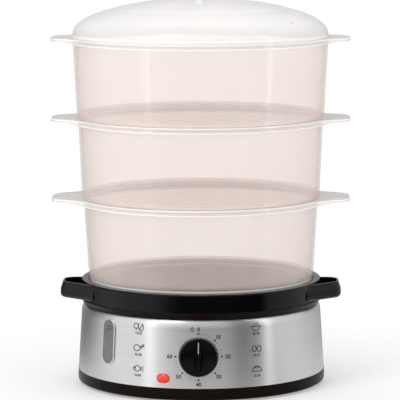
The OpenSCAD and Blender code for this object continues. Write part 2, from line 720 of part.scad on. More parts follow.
slot_r = tray_mouth_r - 14;
module drip_tray() {
  wall = 2.5;
  ring_r = deck_r - fit_gap;
  floor_top = tray_floor_z + tray_floor_t;
  slot_y = -scoop_forward - 20;
  color([0.06, 0.06, 0.065]) difference() {
    union() {
      rotate_extrude() polygon([
        [tray_r, rim_top], [tray_r, tray_top - 1.2], [tray_r - 1.2, tray_top],
        [tray_mouth_r, tray_top], [tray_mouth_r, ledge_z], [tray_mouth_r - ledge_w, ledge_z],
        [tray_mouth_r - ledge_w, ledge_z - 2.5], [tray_mouth_r, ledge_z - 3.5], [tray_mouth_r, floor_top],
        [chimney_r + wall, floor_top], [chimney_r + wall, tray_top - 5],
        [chimney_r, tray_top - 5], [chimney_r, tray_floor_z],
        [ring_r - wall, tray_floor_z], [ring_r - wall, rim_top - 4], [ring_r, rim_top - 4],
        [ring_r, tray_floor_z], [tray_mouth_r + wall, tray_floor_z], [tray_mouth_r + wall, tray_top - 3],
        [tray_r - wall, tray_top - 3], [tray_r - wall, rim_top]]);
      for (m = [0, 1]) mirror([m, 0, 0]) {
        difference() {
          scoop_solid(0, scoop_floor_z, tray_top - 0.5);
          cylinder(r = tray_r - 1.6, h = 2 * tray_top);
        }
        intersection() {
          translate([slot_r - 8, slot_y - 2, tray_floor_z]) cube([40, 44, ledge_z - 2 - tray_floor_z]);
          cylinder(r = tray_mouth_r + 1, h = tray_top);
        }
      }
    }
    for (m = [0, 1]) mirror([m, 0, 0]) {
      difference() {
        scoop_solid(2.3, scoop_floor_z + 2.4, tray_top + 2);
        cylinder(r = tray_r - 0.9, h = 2 * tray_top);
      }
      translate([slot_r - 6, slot_y, floor_top]) cube([tray_r + 9 - slot_r, 40, ledge_z - 3.8 - floor_top]);
      translate([slot_r - 6, slot_y, tray_floor_z - 1]) cube([8, 40, tray_top - tray_floor_z]);
    }
  }
}

// ---- baskets ----

// Middle of the hollow curve where a grip tab leaves a flange of radius r
function blend_centre(r) =
  let (big = r + tab_blend_r, small = tab_corner_r + tab_blend_r,
    kx = tab_tip - tab_corner_r, ky = tab_flat, d = norm([kx, ky]),
    along = (big * big - small * small + d * d) / (2 * d),
    off = sqrt(big * big - along * along))
  [(kx * along - ky * off) / d, (ky * along + kx * off) / d];

// Plan of a rim with its two grip tabs, drawn in by t
module rim_2d(r, t) {
  c = blend_centre(r);
  k = [tab_tip - tab_corner_r, tab_flat];
  on_rim = c * (r / (r + tab_blend_r));
  on_tab = k + (c - k) * (tab_corner_r / (tab_corner_r + tab_blend_r));
  circle(r = r - t, $fn = 160);
  for (m = [0, 1]) mirror([m, 0]) {
    for (s = [-1, 1]) translate([k[0], s * k[1]]) circle(r = tab_corner_r - t, $fn = 64);
    translate([r - 20, -tab_flat]) square([tab_tip - t - r + 20, 2 * tab_flat]);
    difference() {
      polygon([[r - 40, -on_rim[1]], [on_rim[0], -on_rim[1]], [on_tab[0], -on_tab[1]],
        [k[0], -k[1]], [k[0], k[1]], [on_tab[0], on_tab[1]], [on_rim[0], on_rim[1]], [r - 40, on_rim[1]]]);
      for (s = [-1, 1]) translate([c[0], s * c[1]]) circle(r = tab_blend_r + t, $fn = 160);
    }
  }
}

// Perforated floor of radius r
module floor_2d(r) {
  pitch = (r - 14) / hole_rings;
  difference() {
    circle(r = r, $fn = 160);
    circle(r = steam_hole_r, $fn = 24);
    for (k = [1:hole_rings], i = [0:6 * k - 1]) rotate(i * 60 / k)
      translate([k * pitch, 0]) circle(r = steam_hole_r, $fn = 24);
  }
}

// Radius of the locating ring that drops inside basket i
function locator_r(i) = wall_top_r[i] - basket_t - fit_gap - tier_taper[i] * ring_drop / tier_h[i];

// One basket: i counts from the bottom
module basket(i) {
  z0 = (i == 0) ? ledge_z : seat_z[i];
  z1 = rim_z[i];
  r1 = wall_top_r[i];
  r0 = r1 - tier_taper[i];
  lean = tier_taper[i] / (z1 - seat_z[i]);
  foot_r = r0 - lean * (seat_z[i] - z0);
  floor_z = seat_z[i] + floor_lift;
  floor_r = r0 + lean * floor_lift;
  rim_r = r1 + flange_w[i];
  rotate_extrude($fn = 160) polygon([[foot_r, z0], [r1, z1], [r1 - basket_t, z1], [foot_r - basket_t, z0]]);
  translate([0, 0, floor_z - 1]) linear_extrude(basket_t) floor_2d(floor_r - basket_t / 2);
  translate([0, 0, z1 - basket_t]) linear_extrude(basket_t) difference() {
    rim_2d(rim_r, 0);
    circle(r = r1 - basket_t / 2, $fn = 160);
  }
  translate([0, 0, z1 - flange_drop]) linear_extrude(flange_drop) difference() {
    circle(r = rim_r, $fn = 160);
    circle(r = max(rim_r - 1.8, r1 - basket_t / 2), $fn = 160);
  }
  translate([0, 0, z1 - tab_drop]) linear_extrude(tab_drop) difference() {
    rim_2d(rim_r, 0);
    rim_2d(rim_r, 1.8);
  }
  if (i > 0) translate([0, 0, z0 - ring_drop])
    tube(locator_r(i - 1), locator_r(i - 1) - 1.8, ring_drop + floor_lift, $fn = 160);
}

module basket_lower() { color([0.90, 0.87, 0.85, 0.6]) basket(0); }
module basket_middle() { color([0.90, 0.87, 0.85, 0.6]) basket(1); }
module basket_upper() { color([0.90, 0.87, 0.85, 0.6]) basket(2); }

// ---- lid ----

// Outline of the dome from its band to its crest, drawn in by t
function dome_outline(t) =
  let (crown_R = (crown_r * crown_r + crown_h * crown_h) / (2 * crown_h),
    a0 = acos((crown_r - lid_r + dome_w) / dome_w), a1 = 90 - asin(crown_r / crown_R))
  concat(
    quarter(lid_r - dome_w, dome_z, dome_w - t, dome_h - t, 0, a0 - 1.2, 12),
    arc(0, crown_z + 0.6 + crown_h - crown_R, crown_R - t, a1, 90, 8));

module lid() {
  crest = crown_z + 0.6 + crown_h;
  inner = dome_outline(basket_t);
  lip_r = locator_r(2);
  grip_R = (pow(grip_l / 2, 2) + pow(grip_h + 4, 2)) / (2 * (grip_h + 4));
  color([0.95, 0.95, 0.96, 0.6]) difference() {
    union() {
      rotate_extrude($fn = 160) polygon(concat(
        [[lip_r - 1.8, lid_z + basket_t], [lip_r - 1.8, lid_z - ring_drop], [lip_r, lid_z - ring_drop],
          [lip_r, lid_z], [lid_r, lid_z]], dome_outline(0),
        [for (i = [len(inner) - 1:-1:0]) inner[i]], [[lid_r - basket_t, lid_z + basket_t]]));
      difference() {
        translate([-grip_w / 2, 0, crest + grip_h - grip_R]) rotate([0, 90, 0])
          cylinder(r = grip_R, h = grip_w);
        rotate_extrude($fn = 160)
          polygon(concat([[0, 0], [lid_r, 0]], dome_outline(basket_t / 2), [[0, crest - 1]]));
        translate([0, 0, -500 + lid_z]) cube(1000, center = true);
      }
    }
    for (a = [50.5, 90, 129.5]) rotate([0, 0, a]) translate([0, a == 90 ? -94 : -117, dome_z])
      cylinder(r = 1.6, h = 60, $fn = 24);
  }
}

base_housing();
steel_band();
bottom_plate();
rubber_feet();
plate_screws();
water_tank();
level_window();
window_bezel();
window_gasket();
boiling_plate();
tube_element();
element_gasket();
element_clamp();
clamp_screws();
thermostat();
thermal_fuse();
steam_ring();
timer_case();
timer_cover();
timer_screws();
timer_bell();
timer_shaft();
timer_gear();
timer_pinion();
control_knob();
knob_ring();
lamp_lens();
neon_lamp();
terminal_block();
inner_leads();
cord_gland();
drip_tray();
basket_lower();
basket_middle();
basket_upper();
lid();
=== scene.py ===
import json
import math

import bmesh
import bpy
import numpy as np
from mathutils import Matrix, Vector
from mathutils.geometry import delaunay_2d_cdt


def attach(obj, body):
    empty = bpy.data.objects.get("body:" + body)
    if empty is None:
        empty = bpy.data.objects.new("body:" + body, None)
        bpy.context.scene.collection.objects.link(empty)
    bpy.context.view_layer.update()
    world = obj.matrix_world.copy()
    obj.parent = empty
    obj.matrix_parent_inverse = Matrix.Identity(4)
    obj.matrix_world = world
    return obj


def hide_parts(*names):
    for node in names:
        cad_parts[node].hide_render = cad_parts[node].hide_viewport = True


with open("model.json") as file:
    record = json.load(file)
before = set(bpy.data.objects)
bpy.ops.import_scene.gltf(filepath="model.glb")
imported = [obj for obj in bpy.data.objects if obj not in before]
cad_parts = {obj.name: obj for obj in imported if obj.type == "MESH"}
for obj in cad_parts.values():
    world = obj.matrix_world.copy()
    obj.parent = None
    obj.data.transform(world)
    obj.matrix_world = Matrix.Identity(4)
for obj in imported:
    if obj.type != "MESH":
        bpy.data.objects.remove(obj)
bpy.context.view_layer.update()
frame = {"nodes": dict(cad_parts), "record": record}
scene = bpy.context.scene
mm = 0.001

# Camera: long lens, a little above the rim of the base, turned slightly to the right

cameraView = {
    "distance": 2.67,   # from the steamer's axis
    "height": 0.514,
    "turn": 1.2,        # degrees round the axis, to the right
    "pitch": 7.07,      # degrees down
    "roll": 0.15,
    "lens": 240.75,
}


def makeCamera(values):
    data = bpy.data.cameras.new("camera")
    data.lens = values["lens"]
    data.sensor_width = 36.0
    data.clip_start = 0.1
    data.clip_end = 30.0
    obj = bpy.data.objects.new("camera", data)
    scene.collection.objects.link(obj)
    turn = math.radians(values["turn"])
    obj.location = (values["distance"] * math.sin(turn), -values["distance"] * math.cos(turn), values["height"])
    obj.rotation_euler = (math.radians(90 - values["pitch"]), math.radians(values["roll"]), turn)
    scene.camera = obj


makeCamera(cameraView)
scene.view_settings.view_transform = "Standard"
scene.cycles.transparent_max_bounces = 48
scene.cycles.max_bounces = 16
scene.cycles.transmission_bounces = 12
print("camera set")

# Node helpers


def newMaterial(name):
    mat = bpy.data.materials.new(name)
    mat.use_nodes = True
    tree = mat.node_tree
    tree.nodes.clear()
    out = tree.nodes.new("ShaderNodeOutputMaterial")
    shader = tree.nodes.new("ShaderNodeBsdfPrincipled")
    tree.links.new(shader.outputs[0], out.inputs["Surface"])
    return mat, tree, shader, out


def setInputs(node, values):
    for key, value in values.items():
        node.inputs[key].default_value = value
    return node


def objectCoords(tree, scale=(1, 1, 1)):
    coords = tree.nodes.new("ShaderNodeTexCoord")
    mapping = tree.nodes.new("ShaderNodeMapping")
    mapping.inputs["Scale"].default_value = scale
    tree.links.new(coords.outputs["Object"], mapping.inputs["Vector"])
    return mapping.outputs[0]


# Vector of (turn about Z, height, radius), each with its own scale, so that a grain runs round the body.
def roundCoords(tree, alongScale, heightScale, radiusScale):
    coords = tree.nodes.new("ShaderNodeTexCoord")
    split = tree.nodes.new("ShaderNodeSeparateXYZ")
    tree.links.new(coords.outputs["Object"], split.inputs[0])
    turn = mathNode(tree, "ARCTAN2", split.outputs["X"], mathNode(tree, "MULTIPLY", split.outputs["Y"], -1.0))
    length = tree.nodes.new("ShaderNodeVectorMath")
    length.operation = "LENGTH"
    flat = tree.nodes.new("ShaderNodeCombineXYZ")
    tree.links.new(split.outputs["X"], flat.inputs["X"])
    tree.links.new(split.outputs["Y"], flat.inputs["Y"])
    tree.links.new(flat.outputs[0], length.inputs[0])
    out = tree.nodes.new("ShaderNodeCombineXYZ")
    tree.links.new(mathNode(tree, "MULTIPLY", turn, alongScale), out.inputs["X"])
    tree.links.new(mathNode(tree, "MULTIPLY", split.outputs["Z"], heightScale), out.inputs["Y"])
    tree.links.new(mathNode(tree, "MULTIPLY", length.outputs["Value"], radiusScale), out.inputs["Z"])
    return out.outputs[0]


def mathNode(tree, operation, a, b=None):
    node = tree.nodes.new("ShaderNodeMath")
    node.operation = operation
    for i, value in enumerate((a, b)):
        if value is None:
            continue
        if isinstance(value, (int, float)):
            node.inputs[i].default_value = value
        else:
            tree.links.new(value, node.inputs[i])
    return node.outputs[0]


def noiseOf(tree, vector, scale, detail=3.0, roughness=0.55):
    node = tree.nodes.new("ShaderNodeTexNoise")
    setInputs(node, {"Scale": scale, "Detail": detail, "Roughness": roughness})
    tree.links.new(vector, node.inputs["Vector"])
    return node.outputs["Fac"]


def ramp(tree, fac, stops):
    node = tree.nodes.new("ShaderNodeValToRGB")
    while len(node.color_ramp.elements) < len(stops):
        node.color_ramp.elements.new(0.5)
    for element, (place, colour) in zip(node.color_ramp.elements, stops):
        element.position = place
        element.color = (*colour, 1) if len(colour) == 3 else colour
    tree.links.new(fac, node.inputs["Fac"])
    return node.outputs["Color"]


def mapRange(tree, fac, low, high, fromLow=0.0, fromHigh=1.0):
    node = tree.nodes.new("ShaderNodeMapRange")
    setInputs(node, {"From Min": fromLow, "From Max": fromHigh, "To Min": low, "To Max": high})
    tree.links.new(fac, node.inputs["Value"])
    return node.outputs["Result"]


def bumpOf(tree, height, strength, distance):
    node = tree.nodes.new("ShaderNodeBump")
    setInputs(node, {"Strength": strength, "Distance": distance})
    tree.links.new(height, node.inputs["Height"])
    return node.outputs["Normal"]


# Opaque finishes: a colour that drifts a little, a roughness that follows it, and a fine bump

finishes = {
    # low and high colour, low and high roughness, grain scale, bump height, other sockets
    "blackPlastic": ((0.0030, 0.0028, 0.0028), (0.0050, 0.0047, 0.0046), 0.16, 0.24, 900, 0.00002,
                     {"Specular IOR Level": 0.18}),
    # skirt: black plastic whose brown tint is a painted reflection of a warm floor
    "skirtPlastic": ((0.0040, 0.0022, 0.0015), (0.0068, 0.0037, 0.0026), 0.24, 0.34, 900, 0.00003,
                     {"Specular IOR Level": 0.08}),
    "darkPlastic": ((0.035, 0.035, 0.036), (0.055, 0.054, 0.054), 0.42, 0.58, 700, 0.00008, {}),
    "glossBlack": ((0.0010, 0.0010, 0.0010), (0.0018, 0.0018, 0.0018), 0.09, 0.14, 260, 0.00001,
                   {"Specular IOR Level": 0.28}),
    "knobBlack": ((0.0022, 0.0022, 0.0022), (0.0034, 0.0032, 0.0032), 0.17, 0.26, 1500, 0.00002,
                  {"Specular IOR Level": 0.10}),
    "palePlastic": ((0.60, 0.57, 0.49), (0.70, 0.67, 0.59), 0.40, 0.55, 500, 0.00006, {}),
    "elementMetal": ((0.06, 0.05, 0.045), (0.16, 0.13, 0.11), 0.45, 0.65, 220, 0.00010, {"Metallic": 0.6}),
    "plateSteel": ((0.52, 0.51, 0.50), (0.64, 0.63, 0.62), 0.26, 0.40, 320, 0.00003, {"Metallic": 1.0}),
    "screwSteel": ((0.48, 0.48, 0.49), (0.62, 0.62, 0.63), 0.22, 0.36, 600, 0.00003, {"Metallic": 1.0}),
    "trimChrome": ((0.62, 0.62, 0.63), (0.72, 0.72, 0.73), 0.12, 0.20, 400, 0.00001, {"Metallic": 1.0}),
    "bellBrass": ((0.58, 0.44, 0.18), (0.72, 0.57, 0.27), 0.24, 0.38, 300, 0.00003, {"Metallic": 1.0}),
    "footRubber": ((0.028, 0.028, 0.028), (0.045, 0.045, 0.045), 0.70, 0.85, 900, 0.00010, {}),
    "sealRubber": ((0.50, 0.41, 0.34), (0.60, 0.50, 0.42), 0.50, 0.65, 700, 0.00006, {}),
    "leadRubber": ((0.36, 0.055, 0.035), (0.46, 0.08, 0.05), 0.45, 0.60, 600, 0.00005, {}),
    "crestLineGrey": ((0.30, 0.30, 0.30), (0.40, 0.40, 0.40), 0.35, 0.50, 1200, 0.00001, {}),
    "printInk": ((0.012, 0.012, 0.013), (0.022, 0.022, 0.023), 0.45, 0.60, 1200, 0.00001,
                 {"Specular IOR Level": 0.2}),
}


def opaqueFinish(name):
    low, high, roughLow, roughHigh, scale, height, sockets = finishes[name]
    mat, tree, shader, _ = newMaterial(name)
    vector = objectCoords(tree)
    drift = noiseOf(tree, vector, scale * 0.06, 4.0)
    grain = noiseOf(tree, vector, scale, 2.0)
    tree.links.new(ramp(tree, drift, [(0.3, low), (0.7, high)]), shader.inputs["Base Color"])
    tree.links.new(mapRange(tree, drift, roughLow, roughHigh, 0.3, 0.7), shader.inputs["Roughness"])
    tree.links.new(bumpOf(tree, grain, 0.5, height), shader.inputs["Normal"])
    setInputs(shader, sockets)
    return mat


# Steel brushed round the axis: long fine streaks of two widths in colour, roughness and bump.
def brushedSteel():
    mat, tree, shader, _ = newMaterial("brushedSteel")
    fine = noiseOf(tree, roundCoords(tree, 4.0, 4200.0, 300.0), 1.0, 3.0, 0.6)
    broad = noiseOf(tree, roundCoords(tree, 2.2, 1300.0, 60.0), 1.0, 3.0, 0.6)
    streak = mathNode(tree, "ADD", mathNode(tree, "MULTIPLY", fine, 0.7), mathNode(tree, "MULTIPLY", broad, 0.3))
    tree.links.new(ramp(tree, streak, [(0.30, (0.70, 0.697, 0.694)), (0.70, (0.82, 0.817, 0.814))]),
                   shader.inputs["Base Color"])
    tree.links.new(mapRange(tree, streak, 0.38, 0.30, 0.3, 0.7), shader.inputs["Roughness"])
    tree.links.new(bumpOf(tree, fine, 0.15, 0.00001), shader.inputs["Normal"])
    tangent = tree.nodes.new("ShaderNodeTangent")
    tangent.direction_type = "RADIAL"
    tangent.axis = "Z"
    tree.links.new(tangent.outputs[0], shader.inputs["Tangent"])
    setInputs(shader, {"Metallic": 1.0, "Anisotropic": 0.75, "Anisotropic Rotation": 0.25})
    return mat


# Gloss on the outward faces of the clear plastic: its share seen square on, what is added at the very edge and
# how fast that grows.
clearGloss = {"roughness": 0.12, "front": 0.025, "edge": 0.16, "power": 4.0}


# Milky clear plastic: a share of pale plastic over a tinted see-through, more of it at grazing angles, and the
# gloss over both. Bands are (from, to, added share, colour), where it is thicker, and where lines of painted
# highlight run along the rims: metres above a start height, repeated at every period of height.
def clearPlastic(name, tint, body, normalShare, edgeShare, roughness, start, period, bands):
    mat, tree, shader, out = newMaterial(name)
    vector = objectCoords(tree)
    drift = noiseOf(tree, vector, 18.0, 3.0)
    split = tree.nodes.new("ShaderNodeSeparateXYZ")
    tree.links.new(vector, split.inputs[0])
    above = mathNode(tree, "DIVIDE", mathNode(tree, "SUBTRACT", split.outputs["Z"], start), period)
    height = mathNode(tree, "FRACT", above)
    shares, colours, gap = [(0.0, (0,) * 3)], [(0.0, body)], 0.0001 / period
    for low, high, added, colour in bands:
        shares += [(low / period - gap, shares[-1][1]), (low / period + gap, (added,) * 3),
                   (high / period - gap, (added,) * 3)]
        colours += [(low / period - gap, colours[-1][1]), (low / period + gap, colour),
                    (high / period - gap, colour)]
    shares.append((bands[-1][1] / period + gap, (0,) * 3))
    colours.append((bands[-1][1] / period + gap, body))
    shade = tree.nodes.new("ShaderNodeMix")      # slow drift of the milkiness
    shade.data_type, shade.blend_type = "RGBA", "MULTIPLY"
    shade.inputs["Factor"].default_value = 1.0
    tree.links.new(ramp(tree, height, colours), shade.inputs["A"])
    tree.links.new(ramp(tree, drift, [(0.3, (0.975,) * 3), (0.7, (1, 1, 1))]), shade.inputs["B"])
    tree.links.new(shade.outputs["Result"], shader.inputs["Base Color"])
    tree.links.new(mapRange(tree, drift, roughness * 0.85, roughness * 1.15, 0.3, 0.7), shader.inputs["Roughness"])
    normal = bumpOf(tree, noiseOf(tree, vector, 60.0, 2.0), 0.3, 0.0001)
    tree.links.new(normal, shader.inputs["Normal"])
    clear = tree.nodes.new("ShaderNodeBsdfTransparent")
    clear.inputs["Color"].default_value = (*tint, 1)
    weight = tree.nodes.new("ShaderNodeLayerWeight")
    weight.inputs["Blend"].default_value = 0.3
    share = mathNode(tree, "ADD", mapRange(tree, weight.outputs["Facing"], normalShare, edgeShare),
                     ramp(tree, height, shares))
    mix = tree.nodes.new("ShaderNodeMixShader")
    tree.links.new(share, mix.inputs["Fac"])
    tree.links.new(clear.outputs[0], mix.inputs[1])
    tree.links.new(shader.outputs[0], mix.inputs[2])
    gloss = tree.nodes.new("ShaderNodeBsdfGlossy")
    gloss.inputs["Roughness"].default_value = clearGloss["roughness"]
    tree.links.new(normal, gloss.inputs["Normal"])
    sheer = tree.nodes.new("ShaderNodeLayerWeight")      # with a blend of a half, one minus the cosine of the view
    sheer.inputs["Blend"].default_value = 0.5
    inside = tree.nodes.new("ShaderNodeNewGeometry")
    outer = mathNode(tree, "SUBTRACT", 1.0, inside.outputs["Backfacing"])
    grazing = mathNode(tree, "POWER", sheer.outputs["Facing"], clearGloss["power"])
    sheen = mathNode(tree, "ADD", mathNode(tree, "MULTIPLY", grazing, clearGloss["edge"]), clearGloss["front"])
    top = tree.nodes.new("ShaderNodeMixShader")
    tree.links.new(mathNode(tree, "MULTIPLY", sheen, outer), top.inputs["Fac"])
    tree.links.new(mix.outputs[0], top.inputs[1])
    tree.links.new(gloss.outputs[0], top.inputs[2])
    tree.links.new(top.outputs[0], out.inputs["Surface"])
    return mat


def lampRed():
    mat, tree, shader, _ = newMaterial("lampRed")
    vector = objectCoords(tree)
    drift = noiseOf(tree, vector, 160.0, 2.0)
    tree.links.new(ramp(tree, drift, [(0.35, (0.50, 0.006, 0.004)), (0.65, (0.66, 0.012, 0.006))]),
                   shader.inputs["Base Color"])
    tree.links.new(mapRange(tree, drift, 0.10, 0.18), shader.inputs["Roughness"])
    # Glow of the lit lamp, with a painted highlight where the dome faces the view and painted shade towards its rim
    weight = tree.nodes.new("ShaderNodeLayerWeight")
    weight.inputs["Blend"].default_value = 0.5
    glowAndPaintedShade = ramp(tree, weight.outputs["Facing"],      # brightest in the middle of the dome
                [(0.0, (1.0, 0.09, 0.05)), (0.08, (0.80, 0.02, 0.01)), (0.45, (0.25, 0.002, 0.001))])
    tree.links.new(glowAndPaintedShade, shader.inputs["Emission Color"])
    setInputs(shader, {"Coat Weight": 1.0, "Coat Roughness": 0.05, "Emission Strength": 0.35})
    return mat


def windowClear():
    mat, tree, shader, _ = newMaterial("windowClear")
    vector = objectCoords(tree)
    drift = noiseOf(tree, vector, 90.0, 2.0)
    tree.links.new(ramp(tree, drift, [(0.3, (0.18, 0.18, 0.18)), (0.7, (0.23, 0.23, 0.23))]),
                   shader.inputs["Base Color"])
    tree.links.new(mapRange(tree, drift, 0.10, 0.16), shader.inputs["Roughness"])
    setInputs(shader, {"Alpha": 0.72})
    return mat


def lampGlass():
    mat, tree, shader, _ = newMaterial("lampGlass")
    vector = objectCoords(tree)
    drift = noiseOf(tree, vector, 200.0, 2.0)
    tree.links.new(ramp(tree, drift, [(0.3, (0.85, 0.50, 0.36)), (0.7, (0.93, 0.62, 0.46))]),
                   shader.inputs["Base Color"])
    tree.links.new(mapRange(tree, drift, 0.04, 0.10), shader.inputs["Roughness"])
    setInputs(shader, {"Alpha": 0.45})
    return mat


materials = {name: opaqueFinish(name) for name in finishes}
materials["brushedSteel"] = brushedSteel()

# Each rim is milky, with a painted highlight as a whiter line along its lower and its upper edge, and a warmer flat
# top.
rimPaintedHighlight, rimWarm, tabWarm = (0.97, 0.955, 0.948), (0.90, 0.845, 0.825), (0.80, 0.745, 0.72)
rimTop = 0.0795      # rims stand 80 mm apart, their tops this far above 107.5 mm and each period after it
# the first and the third bands are painted highlights along the rim's lower and upper edge
rimBands = [(rimTop - 0.0061, rimTop - 0.0046, 0.62, rimPaintedHighlight), (rimTop - 0.0046, rimTop - 0.0013, 0.22, rimWarm),
            (rimTop - 0.0013, rimTop - 0.0001, 0.66, rimPaintedHighlight), (rimTop - 0.0001, rimTop + 0.0003, 0.30, tabWarm)]
materials["basketPlastic"] = clearPlastic(
    "basketPlastic", (0.986, 0.966, 0.957), (0.97, 0.89, 0.855), 0.10, 0.44, 0.16, 0.1075, 0.08, rimBands)
materials["lidPlastic"] = clearPlastic(
    "lidPlastic", (0.992, 0.990, 0.989), (0.95, 0.945, 0.942), 0.28, 0.66, 0.20, 0.34, 0.08,
    [(0.0065, 0.0106, 0.40, (0.97, 0.968, 0.966))])
materials["lampRed"] = lampRed()
materials["windowClear"] = windowClear()
materials["lampGlass"] = lampGlass()

slotFinish = {
    "black_plastic": "blackPlastic", "dark_plastic": "darkPlastic", "gloss_black": "glossBlack",
    "pale_plastic": "palePlastic", "steel_sheet": "brushedSteel", "plate_steel": "plateSteel",
    "screw_steel": "screwSteel", "element_metal": "elementMetal", "trim_chrome": "trimChrome",
    "bell_brass": "bellBrass", "foot_rubber": "footRubber", "seal_rubber": "sealRubber",
    "lead_rubber": "leadRubber", "window_plastic": "windowClear", "lamp_red": "lampRed",
    "lamp_glass": "lampGlass", "basket_plastic": "basketPlastic", "lid_plastic": "lidPlastic",
}


nodeFinish = {"base_housing": "skirtPlastic", "drip_tray": "glossBlack"}


def finishNodes():
    for part in frame["record"]["subparts"]:
        obj = frame["nodes"][part["node"]]
        mat = materials[nodeFinish.get(part["node"], slotFinish[part["material_slot"]])]
        obj.data.materials.clear()
        obj.data.materials.append(mat)


finishNodes()
print("materials made")

# Surfaces: each piece is a grid of points in millimetres, welded into one closed mesh


# Corners (K, N, 2) of N closed profiles, each corner replaced by a quadratic curve that starts and ends its
# own radius away from it along its two sides. Returns (rows, N, 2) with the first row repeated at the end.
def roundCorners(corners, radii, steps=5):
    before, after = np.roll(corners, 1, 0), np.roll(corners, -1, 0)
    rows = []
    for here, prev, nxt, radius in zip(corners, before, after, radii):
        if radius <= 0:
            rows.append(here)
            continue
        toPrev, toNext = prev - here, nxt - here
        lengthPrev = np.maximum(np.linalg.norm(toPrev, axis=-1, keepdims=True), 1e-9)
        lengthNext = np.maximum(np.linalg.norm(toNext, axis=-1, keepdims=True), 1e-9)
        start = here + toPrev * np.minimum(radius / lengthPrev, 0.48)
        end = here + toNext * np.minimum(radius / lengthNext, 0.48)
        for s in np.linspace(0, 1, steps + 1):
            rows.append((1 - s) ** 2 * start + 2 * s * (1 - s) * here + s ** 2 * end)
    rows.append(rows[0])
    return np.array(rows)


# Profile points (radius, height), carried round the axis: (r cos a, r sin a, z) for each angle a.
def revolved(profile, turn):
    profile = np.asarray(profile, float)
    if profile.ndim == 2:
        profile = np.repeat(profile[:, None, :], len(turn), 1)
    return np.stack([profile[..., 0] * np.cos(turn), profile[..., 0] * np.sin(turn), profile[..., 1]], -1)


# One mesh from grids (rows, cols, 3) and from (points, faces) pairs, all in millimetres; equal points are
# welded.
def meshOf(name, grids, faceLists=(), weld=2e-6, sharp=32.0, outward=True):
    points, faces, first = [], [], 0
    for grid in grids:
        rows, cols = grid.shape[:2]
        index = np.arange(rows * cols).reshape(rows, cols) + first
        quads = np.stack([index[:-1, :-1], index[:-1, 1:], index[1:, 1:], index[1:, :-1]], -1).reshape(-1, 4)
        points.append(grid.reshape(-1, 3))
        faces += quads.tolist()
        first += rows * cols
    for more, lists in faceLists:
        points.append(np.asarray(more, float))
        faces += [[i + first for i in face] for face in lists]
        first += len(more)
    mesh = bpy.data.meshes.new(name)
    mesh.from_pydata((np.concatenate(points) * mm).tolist(), [], faces)
    work = bmesh.new()
    work.from_mesh(mesh)
    bmesh.ops.remove_doubles(work, verts=work.verts, dist=weld)
    bmesh.ops.dissolve_degenerate(work, edges=work.edges, dist=weld)
    if outward:
        bmesh.ops.recalc_face_normals(work, faces=work.faces)
    work.to_mesh(mesh)
    work.free()
    mesh.polygons.foreach_set("use_smooth", np.ones(len(mesh.polygons), bool))
    mesh.set_sharp_from_angle(angle=math.radians(sharp))
    return mesh


def addPiece(name, mesh, finish, body, stands=()):
    obj = bpy.data.objects.new(name, mesh)
    scene.collection.objects.link(obj)
    mesh.materials.clear()
    mesh.materials.append(materials[finish])
    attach(obj, body)
    if stands:
        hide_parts(*stands)
    return obj


# Baskets

basketValues = {
    "wallTop": (117.6, 122.4, 127.7),     # outer radius of the wall under the rim
    "taper": (5.0, 3.3, 4.2),
    "foot": (98.5, 187.0, 267.0),
    "seat": (105.0, 187.0, 267.0),
    "rim": (187.0, 267.0, 347.0),
    "flange": (5.0, 3.4, 1.2),
    "wall": 2.0,
    "lip": 1.8,
    "flangeDrop": 6.0,
    "tabDrop": 3.0,
    "tabTip": 149.5,
    "tabCorner": 22.0,
    "tabFlat": 12.0,
    "tabBlend": 80.0,
    "floorLift": 4.0,
    "holeRadius": 3.0,
    "holeRings": 5,
    "holeSides": 20,
    "hub": 14.0,        # part of the floor's radius that the rings of holes don't fill
    "ringDrop": 4.0,    # how far the locating ring reaches below the foot
    "columns": 768,
    "names": ("lowerBasket", "middleBasket", "upperBasket"),
    "nodes": ("basket_lower", "basket_middle", "basket_upper"),
    "bodies": ("lower_basket", "middle_basket", "upper_basket"),
}


# Polar radius of the rim's plan: the circle of radius base, a grip tab at each side with two round corners
# and a flat tip, and a hollow arc between them. It is the largest of the circle and the tab's parts at each
# angle.
def rimRadius(turn, base, v=basketValues):
    x, y = np.abs(np.cos(turn)), np.abs(np.sin(turn))
    centre = np.array([v["tabTip"] - v["tabCorner"], v["tabFlat"]])
    big, small = base + v["tabBlend"], v["tabCorner"] + v["tabBlend"]
    d = np.linalg.norm(centre)
    along = (big * big - small * small + d * d) / (2 * d)
    off = math.sqrt(big * big - along * along)
    hollow = np.array([centre[0] * along - centre[1] * off, centre[1] * along + centre[0] * off]) / d
    leave = hollow * base / big                                   # where the hollow arc leaves the rim
    join = centre + (hollow - centre) * v["tabCorner"] / small    # where it meets the tab's corner
    angle = np.arctan2(y, x)
    leaveAngle, joinAngle = math.atan2(leave[1], leave[0]), math.atan2(join[1], join[0])
    cornerAngle = math.atan2(v["tabFlat"], v["tabTip"])
    radius = np.full_like(turn, float(base))
    tip = v["tabTip"] / np.maximum(x, 1e-6)
    dot = x * centre[0] + y * centre[1]
    corner = dot + np.sqrt(np.maximum(dot ** 2 - d * d + v["tabCorner"] ** 2, 0))
    dot = x * hollow[0] + y * hollow[1]
    arc = dot - np.sqrt(np.maximum(dot ** 2 - hollow @ hollow + v["tabBlend"] ** 2, 0))
    radius = np.where(angle < leaveAngle, arc, radius)
    radius = np.where(angle < joinAngle, corner, radius)
    return np.where(angle < cornerAngle, tip, radius)


